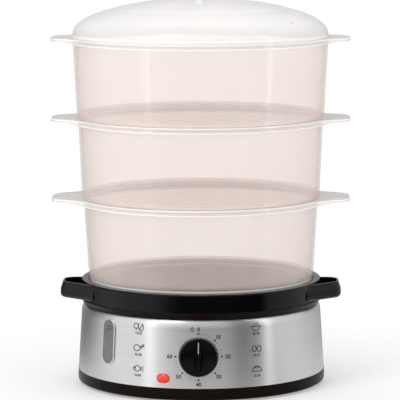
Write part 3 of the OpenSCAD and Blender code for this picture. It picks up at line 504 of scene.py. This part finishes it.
# Flat plate between two heights: an outer loop and round holes, its two faces triangulated alike, and a wall
# strip down each loop.
def plate(loopOut, holes, low, high):
    loops = [loopOut] + holes
    points = np.concatenate(loops)
    edges, first = [], 0
    for loop in loops:
        index = np.arange(len(loop)) + first
        edges += np.stack([index, np.roll(index, -1)], 1).tolist()
        first += len(loop)
    made = delaunay_2d_cdt([Vector(p) for p in points.tolist()], edges, [], 1, 1e-6)
    flat = np.array([list(p) for p in made[0]])
    triangles = np.array([list(f) for f in made[2]])
    middle = flat[triangles].mean(1)
    keep = np.ones(len(triangles), bool)
    for hole in holes:
        centre = hole.mean(0)
        keep &= np.linalg.norm(middle - centre, axis=1) > np.linalg.norm(hole[0] - centre) * 0.98
    triangles = triangles[keep]
    top = np.column_stack([flat, np.full(len(flat), high)])
    bottom = np.column_stack([flat, np.full(len(flat), low)])
    lists = triangles.tolist() + (triangles[:, ::-1] + len(flat)).tolist()
    walls = []
    for loop in loops:
        ring = np.vstack([loop, loop[:1]])
        walls.append(np.stack([np.column_stack([ring, np.full(len(ring), h)]) for h in (high, low)]))
    return walls, (np.vstack([top, bottom]), lists)


def circle(radius, count, centre=(0, 0), phase=0.0):
    turn = np.linspace(0, 2 * np.pi, count, endpoint=False) + phase
    return np.stack([centre[0] + radius * np.cos(turn), centre[1] + radius * np.sin(turn)], 1)


# Wall, rim and tabs: one closed profile carried round the axis, its rim's reach following rimRadius and its
# lip shallower on the tabs. Floor: a plate with rings of round steam holes. Locating ring: a revolved strip.
def makeBasket(i, v=basketValues):
    turn = np.linspace(0, 2 * np.pi, v["columns"] + 1)
    one = np.ones_like(turn)
    top, seat, foot, wall = v["rim"][i], v["seat"][i], v["foot"][i], v["wall"]
    upper = v["wallTop"][i]
    lean = v["taper"][i] / (top - seat)
    footRadius = upper - lean * (top - foot)
    base = upper + v["flange"][i]
    reach = rimRadius(turn, base)
    onTab = np.clip((reach - base) / 12.0, 0, 1)
    drop = v["flangeDrop"] + (v["tabDrop"] - v["flangeDrop"]) * onTab
    wallAtDrop = upper - lean * drop
    lipIn = np.maximum(reach - v["lip"], wallAtDrop + 0.05)
    groove = np.clip((lipIn - wallAtDrop - 0.6) / 1.2, 0, 1)
    under = -drop + (drop - wall) * groove - 0.02 * (1 - groove)
    corners = np.array([
        [(footRadius - wall) * one, foot * one],
        [footRadius * one, foot * one],
        [upper + lean * under, top + under],
        [lipIn, top + under],
        [lipIn, top - drop],
        [reach, top - drop],
        [reach, top * one],
        [(upper - wall) * one, top * one],
    ]).transpose(0, 2, 1)
    radii = (0.7, 0.7, 0.35, 0.35, 0.3, 0.7, 0.9, 0.7)
    shell = revolved(roundCorners(corners, radii, 4), turn)
    floorLow = seat + v["floorLift"] - 1
    floorRadius = footRadius + lean * (floorLow - foot) - 1.0
    pitch = (footRadius + lean * (seat + v["floorLift"] - foot) - wall / 2 - v["hub"]) / v["holeRings"]
    holes = [circle(v["holeRadius"], v["holeSides"])]
    for k in range(1, v["holeRings"] + 1):
        for j in range(6 * k):
            a = math.radians(j * 60 / k)
            holes.append(circle(v["holeRadius"], v["holeSides"], (k * pitch * math.cos(a), k * pitch * math.sin(a))))
    walls, flat = plate(circle(floorRadius, 240), holes, floorLow, floorLow + wall)
    ring = []
    if i > 0:
        below = v["wallTop"][i - 1]
        r = below - wall - 0.5 - v["taper"][i - 1] * v["ringDrop"] / (v["rim"][i - 1] - v["seat"][i - 1])
        low, high = foot - v["ringDrop"], foot + v["floorLift"] - 1.0
        strip = np.array([[r - 1.8, low], [r, low], [r, high], [r - 1.8, high]])[:, None, :]
        around = np.linspace(0, 2 * np.pi, 241)
        ring = [revolved(np.repeat(roundCorners(strip, (0.5, 0.5, 0, 0), 4), len(around), 1), around)]
    mesh = meshOf(v["names"][i], [shell] + walls + ring, [flat])
    return addPiece(v["names"][i], mesh, "basketPlastic", v["bodies"][i], [v["nodes"][i]])


for tier in range(3):
    makeBasket(tier)
print("baskets made")

# Lid

lidValues = {
    "radius": 127.7,
    "seat": 347.0,
    "bandTop": 350.0,
    "wall": 2.0,
    "domeWidth": 77.6,
    "domeHeight": 29.0,
    "crownRadius": 87.0,
    "crownHeight": 10.3,
    "step": 0.6,
    "lipRadius": 124.99,
    "lipDrop": 4.0,
    "gripLength": 124.0,
    "gripHeight": 12.0,
    "gripWidth": 8.0,
    "ventRadius": 1.6,
    "vents": ((94.0, 90.0), (117.0, 50.5), (117.0, 129.5)),     # distance from the axis, degrees
}


# Height of the dome's outer face at radius r: an ellipse quarter outside the crown, a shallow arc inside it.
def domeHeightAt(r, v=lidValues, lower=0.0):
    share = (v["crownRadius"] - v["radius"] + v["domeWidth"]) / v["domeWidth"]
    crownFoot = v["bandTop"] + v["domeHeight"] * math.sqrt(1 - share ** 2) + v["step"]
    arcRadius = (v["crownRadius"] ** 2 + v["crownHeight"] ** 2) / (2 * v["crownHeight"])
    middle = crownFoot + v["crownHeight"] - arcRadius
    crown = middle + np.sqrt((arcRadius - lower) ** 2 - np.minimum(r, v["crownRadius"]) ** 2)
    across = np.clip((r - v["radius"] + v["domeWidth"]) / (v["domeWidth"] - lower), 0, 1)
    ellipse = v["bandTop"] + (v["domeHeight"] - lower) * np.sqrt(1 - across ** 2)
    return np.where(r < v["crownRadius"], crown, ellipse)


# Dome: an ellipse quarter, a small step and a shallow crown, revolved, with the same curves drawn in by the
# wall inside. Grip: a rounded section carried front to back along a flat arc, sunk a little into the crown.
def makeLid(v=lidValues):
    turn = np.linspace(0, 2 * np.pi, 385)
    sweep = np.radians(np.linspace(0, 60.4, 22))
    reach = v["radius"] - v["domeWidth"]

    def curve(lower):
        ellipse = np.stack([reach + (v["domeWidth"] - lower) * np.cos(sweep),
                            v["bandTop"] + (v["domeHeight"] - lower) * np.sin(sweep)], 1)
        r = np.concatenate([[v["crownRadius"] - lower * 0.3], np.linspace(v["crownRadius"] - 1.2, 0, 22)])
        z = domeHeightAt(np.minimum(r, v["crownRadius"] - 0.01), lower=lower)
        z[0] -= 0.25
        return np.vstack([ellipse, np.stack([r, z], 1)])

    outer, inner = curve(0.0), curve(v["wall"])
    lip, low, seat = v["lipRadius"], v["seat"] - v["lipDrop"], v["seat"]
    edge = np.array([
        [lip - 1.8, seat + v["wall"]], [lip - 1.8, low + 0.4], [lip - 1.4, low], [lip - 0.4, low], [lip, low + 0.4],
        [lip, seat], [v["radius"] - 0.6, seat], [v["radius"] - 0.15, seat + 0.15], [v["radius"], seat + 0.6]])
    profile = np.vstack([inner[::-1], [[v["radius"] - v["wall"], seat + v["wall"]]], edge, outer])
    shell = revolved(profile, turn)
    crest = float(domeHeightAt(np.array([0.0]))[0])
    half, height = v["gripLength"] / 2, v["gripHeight"]
    gripRadius = (half ** 2 + (height + 4) ** 2) / (2 * (height + 4))
    y = np.sin(np.linspace(-1, 1, 65) * np.pi / 2) * (half - 1.5)
    ridge = crest + height - gripRadius + np.sqrt(gripRadius ** 2 - y ** 2)
    sunk = domeHeightAt(np.abs(y)) - 1.0
    ridge = np.maximum(ridge, sunk + 0.2)
    wide = v["gripWidth"] / 2
    a = np.radians(np.linspace(-90, 90, 17))
    across = np.concatenate([[-wide], np.sin(a) * wide, [wide], [-wide]])
    rise = np.concatenate([[0], np.sign(np.cos(a)) * np.abs(np.cos(a)) ** 0.55, [0], [0]])
    tall = (ridge - sunk)[:, None]
    capped = np.clip(tall - 3.4, 0, None)
    z = sunk[:, None] + np.where(rise > 0, capped + np.minimum(tall, 3.4) * rise, 0)
    grip = np.stack([np.repeat(across[None], len(y), 0), np.repeat(y[:, None], len(across), 1), z], -1)
    ends = [np.stack([grip[i], np.repeat(grip[i].mean(0)[None], len(across), 0)]) for i in (0, -1)]
    dome = drilled(meshOf("domedLid", [shell]), v)
    handle = meshOf("grip", [grip] + ends)
    work = bmesh.new()
    work.from_mesh(dome)
    work.from_mesh(handle)
    work.to_mesh(dome)
    work.free()
    dome.set_sharp_from_angle(angle=math.radians(32))
    return addPiece("domedLid", dome, "lidPlastic", "lid", ["lid"])


# Each vent is a straight round hole, cut by a cylinder through the dome's wall.
def drilled(mesh, v):
    obj = bpy.data.objects.new("dome", mesh)
    scene.collection.objects.link(obj)
    turn = np.linspace(0, 2 * np.pi, 25)
    grids = []
    for distance, degrees in v["vents"]:
        a = math.radians(degrees)
        profile = np.array([[0, 349.0], [v["ventRadius"], 349.0], [v["ventRadius"], 400.0], [0, 400.0]])
        grids.append(revolved(profile, turn) + (distance * math.sin(a), -distance * math.cos(a), 0))
    cutter = bpy.data.objects.new("ventCutter", meshOf("ventCutter", grids))
    scene.collection.objects.link(cutter)
    cut = obj.modifiers.new("vents", "BOOLEAN")
    cut.operation, cut.solver, cut.object = "DIFFERENCE", "EXACT", cutter
    bpy.context.view_layer.update()
    made = bpy.data.meshes.new_from_object(obj.evaluated_get(bpy.context.evaluated_depsgraph_get()))
    bpy.data.objects.remove(cutter)
    bpy.data.objects.remove(obj)
    return made


makeLid()
print("lid made")

# The panel: where things sit on the leaning steel wall

wallValues = {"radius": 124.0, "bandLow": 14.0, "lean": 0.0625}
leanAngle = math.atan(wallValues["lean"])


def wallRadius(z):
    return wallValues["radius"] - wallValues["lean"] * (z - wallValues["bandLow"])


# Flat panel points (across, up, out) carried onto the leaning round wall: across is an arc length, up follows
# the slope, out is along the radius.
def onWall(points, degrees, height):
    points = np.asarray(points, float)
    z = height + points[..., 1] * math.cos(leanAngle)
    a = math.radians(degrees) + points[..., 0] / wallRadius(height)
    r = wallRadius(z) + points[..., 2]
    return np.stack([r * np.sin(a), -r * np.cos(a), z + points[..., 2] * math.sin(leanAngle)], -1)


# Panel points (across, up, out) on the flat that touches the wall at that angle and height.
def onFlat(points, degrees, height):
    points = np.asarray(points, float)
    out = points[..., 2] * math.cos(leanAngle) - points[..., 1] * math.sin(leanAngle) + wallRadius(height)
    z = height + points[..., 1] * math.cos(leanAngle) + points[..., 2] * math.sin(leanAngle)
    a = math.radians(degrees)
    return np.stack([points[..., 0] * math.cos(a) + out * math.sin(a),
                     points[..., 0] * math.sin(a) - out * math.cos(a), z], -1)


# Control knob

knobValues = {
    "radius": 18.5,
    "edge": 1.8,
    "height": 6.5,
    "centreHeight": 4.3,
    "bladeHeight": 11.5,
    "bladeArc": 26.0,
    "bladeHalf": 2.35,
    "bladeEnds": 17.3,
    "sideSlope": 3.2,
    "softness": 3.5,
    "back": 1.2,
    "place": 45.0,
}


# Smooth maximum of a dished disc, rising with the square of the distance from the centre, and a blade whose
# plan is a lens, whose crest is a flat arc and whose sides fall steeply.
def knobHeight(x, y, v=knobValues):
    far = np.sqrt(x ** 2 + y ** 2) / (v["radius"] - v["edge"])
    dish = v["centreHeight"] + (v["height"] - v["centreHeight"]) * np.clip(far, 0, 1) ** 2.4
    half = v["bladeHalf"] * np.clip(1 - (y / v["bladeEnds"]) ** 2, 0, None)
    crest = v["bladeHeight"] - v["bladeArc"] + np.sqrt(v["bladeArc"] ** 2 - y ** 2)
    hollow = 0.35 * np.clip(1 - (x / np.maximum(half, 0.05)) ** 2, 0, 1) * np.clip(half / v["bladeHalf"], 0, 1)
    blade = crest - hollow - v["sideSlope"] * np.clip(np.abs(x) - half, 0, None)
    k = v["softness"]
    return np.maximum(dish, blade) + np.log1p(np.exp(-k * np.abs(dish - blade))) / k * np.clip((1 - far) * 6, 0, 1)


def makeKnob(v=knobValues):
    top = v["radius"] - v["edge"]
    a = np.radians(np.linspace(-90, 90, 73))
    y = top * np.sin(a)
    side = top * np.cos(a)
    half = v["bladeHalf"] * np.clip(1 - (y / v["bladeEnds"]) ** 2, 0, None)
    outerKnot = np.minimum(half + 2.4, side * 0.8)
    edgeKnot = np.minimum(half, side * 0.5)
    knots = np.stack([-side, -outerKnot, -edgeKnot, 0 * side, edgeKnot, outerKnot, side], 1)
    weights = np.concatenate([np.linspace(0, 1, 13)[:-1], np.linspace(1, 2, 15)[:-1], np.linspace(2, 3, 9)[:-1],
                              np.linspace(3, 4, 9)[:-1], np.linspace(4, 5, 15)[:-1], np.linspace(5, 6, 13)])
    x = np.stack([np.interp(weights, np.arange(7), row) for row in knots])
    y = np.repeat(y[:, None], x.shape[1], 1)
    face = np.stack([x, y, knobHeight(x, y)], -1)
    loop = np.concatenate([face[:, 0], face[::-1, -1]])
    turn = np.arctan2(loop[:, 1], loop[:, 0])
    bend = np.radians(np.linspace(0, 90, 7))
    ringRadius = np.concatenate([top + v["edge"] * np.sin(bend), [v["radius"] + 0.0, v["radius"] - 0.5, 4.0]])
    ringHeight = np.concatenate([-v["edge"] + v["edge"] * np.cos(bend), [0, 0, 0]])
    rings = []
    for i, (r, h) in enumerate(zip(ringRadius, ringHeight)):
        z = loop[:, 2] + h if i < len(bend) else np.full(len(loop), (0.35, 0.0, 0.0)[i - len(bend)])
        rings.append(loop if i == 0 else np.stack([r * np.cos(turn), r * np.sin(turn), z], -1))
    rings.append(np.repeat([[0.0, 0.0, 0.0]], len(loop), 0))
    grids = [face, np.array(rings)]
    placed = [onFlat(g + (0, 0, v["back"]), 0, v["place"]) for g in grids]
    addPiece("dialKnob", meshOf("dialKnob", placed, sharp=40), "knobBlack", "knob", ["control_knob"])
    # A grey line along the upper part of the blade's crest, lighter than the knob
    y = np.linspace(4.5, 14.6, 24)
    crest = knobHeight(0 * y, y)
    section = np.array([[-0.38, -0.15], [-0.38, 0.07], [0.38, 0.07], [0.38, -0.15], [-0.38, -0.15]])
    line = np.stack([np.stack([section[:, 0], np.full(5, t), section[:, 1] + c], -1) for t, c in zip(y, crest)])
    caps = [np.stack([line[i], np.repeat(line[i][:4].mean(0)[None], 5, 0)]) for i in (0, -1)]
    placed = [onFlat(g + (0, 0, v["back"]), 0, v["place"]) for g in [line] + caps]
    addPiece("crestLine", meshOf("crestLine", placed), "crestLineGrey", "knob", ())


makeKnob()

# Lamp lens

lampValues = {
    "width": 13.0,
    "height": 8.6,
    "flat": 0.35,
    "rise": 0.8,
    "dome": 2.0,
    "root": -4.5,
    "angle": -16.3,
    "place": 23.3,
}


# An oval dome, its height rise plus dome times the square root of one minus the share squared, on a low flange
# that fills the slot in the steel.
def makeLamp(v=lampValues):
    r = v["height"] / 2
    a = np.linspace(0, 2 * np.pi, 97)
    slot = np.stack([r * np.cos(a) + np.sign(np.cos(a)) * (v["width"] / 2 - r) * np.minimum(1, np.abs(np.cos(a)) * 4),
                     r * np.sin(a)], -1)
    oval = np.stack([(v["width"] / 2 - 0.25) * np.cos(a), (r - 0.3) * np.sin(a)], -1)
    share = np.sin(np.linspace(0, 1, 14) * np.pi / 2)
    dome = np.stack([np.column_stack([oval * s, np.full(len(a), v["rise"] + v["dome"] * math.sqrt(1 - s * s))])
                     for s in share] + [np.column_stack([oval, np.full(len(a), v["flat"])]),
                                        np.column_stack([slot, np.full(len(a), v["flat"] - 0.15)])])
    wall = np.stack([np.column_stack([slot * s, np.full(len(a), h)])
                     for s, h in ((1, v["flat"] - 0.15), (1, v["root"]), (0, v["root"]))])
    grids = [onFlat(g, v["angle"], v["place"]) for g in (dome, wall)]
    addPiece("lampDome", meshOf("lampDome", grids, sharp=50), "lampRed", "base", ["lamp_lens"])


makeLamp()
print("knob and lamp made")

# Print on the panel

printValues = {
    "low": -0.02,        # millimetres from the steel
    "high": 0.07,
    "dialPlace": 45.0,
    "dotRing": 22.5,
    "numberRing": 27.2,
    "numberSize": 5.3,
    "numberShift": (-0.4, 0.2, 1.2, 0.2, -0.4, 0.2, 1.2),     # out from the ring, for 0 to 60
    "clock": (-6.2, 26.6),
    "dotRadius": 0.95,
    "tickRadius": 0.38,
    "stroke": 0.62,
    "columnAngles": (-29.0, 27.4),
    "drawingScale": 1.3,
    "rows": (72.0, 51.0, 31.0),
    "captionDrop": 6.4,
    "captionSize": 3.3,
    "captions": (("15-25", "25-30", "10-20"), ("30-40", "10-15", "15-20")),
}


# Disc: middle low, rim low, rim high, middle high, for every angle round it.
def dotGrid(x, y, radius, v=printValues, count=16):
    turn = np.linspace(0, 2 * np.pi, count + 1)
    rows = [(0, v["low"]), (radius, v["low"]), (radius, v["high"]), (0, v["high"])]
    return np.stack([np.stack([x + r * np.cos(turn), y + r * np.sin(turn), np.full(count + 1, h)], -1)
                     for r, h in rows])


# Line of even width along a path: a flat rectangle section carried along it, square to its direction.
def strokeGrids(path, width, closed=False, v=printValues):
    path = np.asarray(path, float)
    if closed:
        path = np.vstack([path, path[:1]])
    ahead = np.gradient(path, axis=0)
    if closed:
        ahead[0] = ahead[-1] = path[1] - path[-2]
    ahead /= np.maximum(np.linalg.norm(ahead, axis=1, keepdims=True), 1e-9)
    side = np.stack([-ahead[:, 1], ahead[:, 0]], 1) * width / 2
    corner = [(1, "low"), (1, "high"), (-1, "high"), (-1, "low"), (1, "low")]
    grid = np.stack([np.column_stack([path + s * side, np.full(len(path), v[h])]) for s, h in corner], 1)
    caps = [] if closed else [np.stack([grid[i], np.repeat(grid[i][:4].mean(0)[None], 5, 0)]) for i in (0, -1)]
    return [grid] + caps


def arcPath(x, y, rx, ry, start, end, count=18):
    a = np.radians(np.linspace(start, end, count))
    return np.stack([x + rx * np.cos(a), y + ry * np.sin(a)], 1)


def ovalStroke(x, y, rx, ry, width):
    return strokeGrids(arcPath(x, y, rx, ry, 0, 345, 24), width, closed=True)


# Text turned into a mesh, centred on (x, y), with the print's thickness.
def lettering(text, x, y, size, v=printValues):
    data = bpy.data.curves.new("digits", "FONT")
    data.body, data.size, data.align_x, data.align_y = text, size, "CENTER", "CENTER"
    data.extrude = (v["high"] - v["low"]) / 2
    data.offset = size * 0.028
    data.resolution_u = 3
    obj = bpy.data.objects.new("digits", data)
    scene.collection.objects.link(obj)
    bpy.context.view_layer.update()
    mesh = bpy.data.meshes.new_from_object(obj.evaluated_get(bpy.context.evaluated_depsgraph_get()))
    points = np.zeros(len(mesh.vertices) * 3)
    mesh.vertices.foreach_get("co", points)
    points = points.reshape(-1, 3)
    points[:, 0] += x - (points[:, 0].min() + points[:, 0].max()) / 2
    points[:, 1] += y - (points[:, 1].min() + points[:, 1].max()) / 2
    points[:, 2] += (v["high"] + v["low"]) / 2
    lists = [list(p.vertices) for p in mesh.polygons]
    bpy.data.objects.remove(obj)
    bpy.data.meshes.remove(mesh)
    bpy.data.curves.remove(data)
    return points, lists


def makeDial(v=printValues):
    grids, lists = [], []
    for i in range(7):
        a = math.radians(45 * i)
        grids.append(dotGrid(v["dotRing"] * math.sin(a), v["dotRing"] * math.cos(a), v["dotRadius"]))
        reach = v["numberRing"] + v["numberShift"][i]
        points, faces = lettering(str(10 * i), reach * math.sin(a), reach * math.cos(a), v["numberSize"])
        lists.append((onWall(points, 0, v["dialPlace"]), faces))
        if i < 6:
            for j in range(1, 5):
                b = math.radians(45 * i + 9 * j)
                tick = v["dotRing"] * math.sin(b), v["dotRing"] * math.cos(b)
                grids.append(dotGrid(*tick, v["tickRadius"], count=10))
    x, y = v["clock"]      # small clock beside the zero
    grids += ovalStroke(x, y, 1.7, 1.7, v["stroke"])
    grids += strokeGrids([[x, y], [x, y + 1.0]], v["stroke"])
    grids += strokeGrids([[x - 0.5, y + 2.35], [x + 0.5, y + 2.35]], v["stroke"])
    placed = [onWall(g, 0, v["dialPlace"]) for g in grids]
    addPiece("dialPrint", meshOf("dialPrint", placed, lists), "printInk", "base", ())


# Six small line drawings, three a side: each is a list of strokes round its own middle. A long straight line has
# points along it, so that it follows the round wall.
def pictograms(v=printValues):
    w = v["stroke"]

    def line(path):
        return strokeGrids(path, w)

    leaf = np.vstack([arcPath(2.6, 0, 3.0, 3.4, 140, 262), arcPath(0.6, -0.4, 3.2, 3.6, -60, 52)])
    leafAndRoot = (line(leaf) + line([[0.4, -2.9], [3.2, 1.9]]) + ovalStroke(-2.4, 0.3, 2.0, 1.9, w)
                   + line([[-2.4, -1.6], [-2.4, -2.9]]))
    drumstick = (ovalStroke(-1.2, 0.1, 2.9, 2.2, w) + line([[1.5, 0.9], [3.6, 2.0]])
                 + line([[1.7, 0.0], [3.9, 1.2]]) + ovalStroke(4.2, 2.0, 0.65, 0.8, w))
    fish = (line(arcPath(-0.6, -1.8, 3.4, 3.9, 18, 162)) + line(arcPath(-0.6, 1.8, 3.4, 3.9, 198, 342))
            + line([[2.6, -0.6], [4.4, -2.0], [4.4, 2.0], [2.6, 0.6]]) + ovalStroke(-2.2, 0.35, 0.32, 0.32, w))
    bowl = (line(arcPath(0, 0.6, 3.4, 3.4, 180, 360)) + line(np.linspace([-4.1, 0.6], [4.1, 0.6], 12))
            + line([[-1.2, 1.5], [-0.8, 2.3], [-1.2, 3.1]]) + line([[1.0, 1.5], [1.4, 2.3], [1.0, 3.1]]))
    eggs = ovalStroke(-1.9, -0.2, 1.7, 2.2, w) + ovalStroke(2.1, -0.2, 1.7, 2.2, w)
    dumpling = (line(arcPath(0, -1.7, 3.9, 3.9, 0, 180)) + line(np.linspace([-3.9, -1.7], [3.9, -1.7], 12))
                + line([[-1.6, 1.8], [-1.1, 0.4]]) + line([[0, 2.1], [0, 0.6]]) + line([[1.6, 1.8], [1.1, 0.4]]))
    return ((leafAndRoot, drumstick, fish), (bowl, eggs, dumpling))


def makePictograms(v=printValues):
    placed, lists = [], []
    for side, (drawings, captions) in enumerate(zip(pictograms(), v["captions"])):
        angle = v["columnAngles"][side]
        for drawing, caption, row in zip(drawings, captions, v["rows"]):
            larger = (v["drawingScale"], v["drawingScale"], 1.0)
            placed += [onWall(g * larger, angle, row) for g in drawing]
            points, faces = lettering(caption, 0, -v["captionDrop"], v["captionSize"])
            lists.append((onWall(points, angle, row), faces))
    addPiece("panelPrint", meshOf("panelPrint", placed, lists), "printInk", "base", ())


# Two short bars on the window's face.
levelValues = {"heights": (15.2, 12.2), "half": 3.6, "stroke": 0.8, "proud": 0.5, "angle": -47.0, "place": 53.2}


def makeLevelMarks(v=levelValues):
    grids = []
    for height in v["heights"]:
        grids += strokeGrids([[-v["half"], height], [v["half"], height]], v["stroke"])
    placed = [onFlat(g + (0, 0, v["proud"]), v["angle"], v["place"]) for g in grids]
    addPiece("levelMarks", meshOf("levelMarks", placed), "printInk", "base", ())


makeDial()
makePictograms()
makeLevelMarks()
print("panel print made")

# Studio

studio = {
    "floorRadius": 6.0,
    "floorColour": (0.93, 0.92, 0.915),
    "whiteFrom": 0.145,      # metres from the axis where the floor starts to fade to plain white
    "whiteAt": 0.36,
    "worldDiffuse": 0.62,
    # how bright the studio looks in gloss, by turn: 0 and 1 are behind the steamer, 0.5 is in front of it
    "wallShades": ((0.0, 0.50), (0.08, 0.30), (0.144, 0.14), (0.20, 0.40), (0.255, 0.98), (0.40, 1.0),
                   (0.44, 0.84), (0.50, 0.74), (0.575, 0.68), (0.60, 0.20), (0.632, 0.20), (0.70, 0.76),
                   (0.76, 0.82), (0.81, 0.72), (0.86, 0.56), (0.93, 0.40), (1.0, 0.50)),
    "floorShades": ((0.0, 0.50), (0.08, 0.30), (0.144, 0.14), (0.20, 0.35), (0.26, 0.90), (0.385, 0.72),
                    (0.43, 0.22), (0.455, 0.03), (0.655, 0.03), (0.675, 0.55), (0.76, 0.66), (0.86, 0.52),
                    (0.93, 0.40), (1.0, 0.50)),
    # name, place, aim, width, height, watts, whether gloss shows it: the steel shows the shades above instead
    "lamps": (("keyLamp", (-1.5, -1.9, 1.5), (0, 0, 0.2), 1.2, 1.2, 21, False),
              ("fillLamp", (1.7, -1.6, 1.1), (0, 0, 0.2), 1.0, 1.2, 11, False),
              ("topLamp", (0.0, 0.5, 1.9), (0, 0, 0.2), 1.4, 1.4, 11.5, False),
              ("glintLamp", (-0.8, -1.2, 1.9), (0, 0, 0.1), 0.5, 0.5, 6, True)),
    # two tall narrow lamps that streak the clear walls, by degrees to the right of the front
    "strips": (("leftStrip", -45), ("rightStrip", 63)),
    "stripAway": 0.95,
    "stripHeight": 0.78,
    "stripSize": (0.07, 1.5),
    "stripWatts": 0.9,
}


# Pale floor that keeps the shadow near the object and turns plain white further out, for camera, gloss and
# clear rays.
def floorMaterial():
    mat, tree, shader, out = newMaterial("floorWhite")
    setInputs(shader, {"Roughness": 0.6})
    vector = objectCoords(tree)
    drift = noiseOf(tree, vector, 3.0, 2.0)
    colour = studio["floorColour"]
    tree.links.new(ramp(tree, drift, [(0.3, tuple(c * 0.985 for c in colour)), (0.7, colour)]),
                   shader.inputs["Base Color"])
    length = tree.nodes.new("ShaderNodeVectorMath")
    length.operation = "LENGTH"
    tree.links.new(vector, length.inputs[0])
    away = mapRange(tree, length.outputs["Value"], 0.35, 1.0, studio["whiteFrom"], studio["whiteAt"])
    path = tree.nodes.new("ShaderNodeLightPath")
    seen = mathNode(tree, "MAXIMUM", path.outputs["Is Camera Ray"],
                    mathNode(tree, "MAXIMUM", path.outputs["Is Glossy Ray"], path.outputs["Is Transmission Ray"]))
    white = tree.nodes.new("ShaderNodeEmission")
    white.inputs["Strength"].default_value = 1.0
    split = tree.nodes.new("ShaderNodeSeparateXYZ")
    tree.links.new(vector, split.inputs[0])
    turn = mathNode(tree, "ARCTAN2", split.outputs["X"], mathNode(tree, "MULTIPLY", split.outputs["Y"], -1.0))
    dark = ramp(tree, mapRange(tree, turn, 0.0, 1.0, -math.pi, math.pi),
                [(a, (b,) * 3) for a, b in studio["floorShades"]])
    shade = tree.nodes.new("ShaderNodeMix")
    shade.data_type = "RGBA"
    shade.inputs["A"].default_value = (1, 1, 1, 1)
    tree.links.new(path.outputs["Is Glossy Ray"], shade.inputs["Factor"])
    tree.links.new(dark, shade.inputs["B"])
    tree.links.new(shade.outputs["Result"], white.inputs["Color"])
    mix = tree.nodes.new("ShaderNodeMixShader")
    tree.links.new(mathNode(tree, "MULTIPLY", away, seen), mix.inputs["Fac"])
    tree.links.new(shader.outputs[0], mix.inputs[1])
    tree.links.new(white.outputs[0], mix.inputs[2])
    tree.links.new(mix.outputs[0], out.inputs["Surface"])
    return mat


def makeFloor():
    count = 96
    turn = np.linspace(0, 2 * np.pi, count, endpoint=False)
    ring = np.stack([studio["floorRadius"] * np.cos(turn), studio["floorRadius"] * np.sin(turn), np.zeros(count)], 1)
    mesh = bpy.data.meshes.new("floor")
    mesh.from_pydata(ring.tolist(), [], [list(range(count))])
    obj = bpy.data.objects.new("floor", mesh)
    scene.collection.objects.link(obj)
    mesh.materials.append(floorMaterial())


# White for camera and clear rays, a soft studio with darker flanks for gloss, and an even grey for diffuse
# light.
def makeWorld():
    world = bpy.data.worlds.new("studioWorld")
    scene.world = world
    world.use_nodes = True
    tree = world.node_tree
    tree.nodes.clear()
    out = tree.nodes.new("ShaderNodeOutputWorld")
    background = tree.nodes.new("ShaderNodeBackground")
    tree.links.new(background.outputs[0], out.inputs["Surface"])
    path = tree.nodes.new("ShaderNodeLightPath")
    coords = tree.nodes.new("ShaderNodeTexCoord")
    split = tree.nodes.new("ShaderNodeSeparateXYZ")
    tree.links.new(coords.outputs["Generated"], split.inputs[0])
    turn = mathNode(tree, "ARCTAN2", split.outputs["X"], mathNode(tree, "MULTIPLY", split.outputs["Y"], -1.0))
    place = mapRange(tree, turn, 0.0, 1.0, -math.pi, math.pi)
    walls = ramp(tree, place, [(a, (b,) * 3) for a, b in studio["wallShades"]])
    seen = mathNode(tree, "MAXIMUM", path.outputs["Is Camera Ray"], path.outputs["Is Transmission Ray"])
    plain = tree.nodes.new("ShaderNodeMix")
    plain.data_type = "RGBA"
    tree.links.new(path.outputs["Is Glossy Ray"], plain.inputs["Factor"])
    plain.inputs["A"].default_value = (studio["worldDiffuse"],) * 3 + (1,)
    tree.links.new(walls, plain.inputs["B"])
    final = tree.nodes.new("ShaderNodeMix")
    final.data_type = "RGBA"
    tree.links.new(seen, final.inputs["Factor"])
    tree.links.new(plain.outputs["Result"], final.inputs["A"])
    final.inputs["B"].default_value = (1, 1, 1, 1)
    tree.links.new(final.outputs["Result"], background.inputs["Color"])


def areaLamp(name, place, aim, width, height, watts):
    data = bpy.data.lights.new(name, "AREA")
    data.shape = "RECTANGLE"
    data.size, data.size_y = width, height
    data.energy = watts
    obj = bpy.data.objects.new(name, data)
    scene.collection.objects.link(obj)
    obj.location = place
    obj.rotation_euler = (Vector(aim) - Vector(place)).to_track_quat("-Z", "Y").to_euler()
    return obj


def makeLamps():
    for name, place, aim, width, height, watts, inGloss in studio["lamps"]:
        areaLamp(name, place, aim, width, height, watts).visible_glossy = inGloss
    for name, degrees in studio["strips"]:
        a = math.radians(degrees)
        away, height = studio["stripAway"], studio["stripHeight"]
        strip = areaLamp(name, (away * math.sin(a), -away * math.cos(a), height), (0, 0, height),
                         *studio["stripSize"], studio["stripWatts"])
        strip.visible_camera = False
        strip.visible_transmission = False


makeFloor()
makeWorld()
makeLamps()
print("studio made")
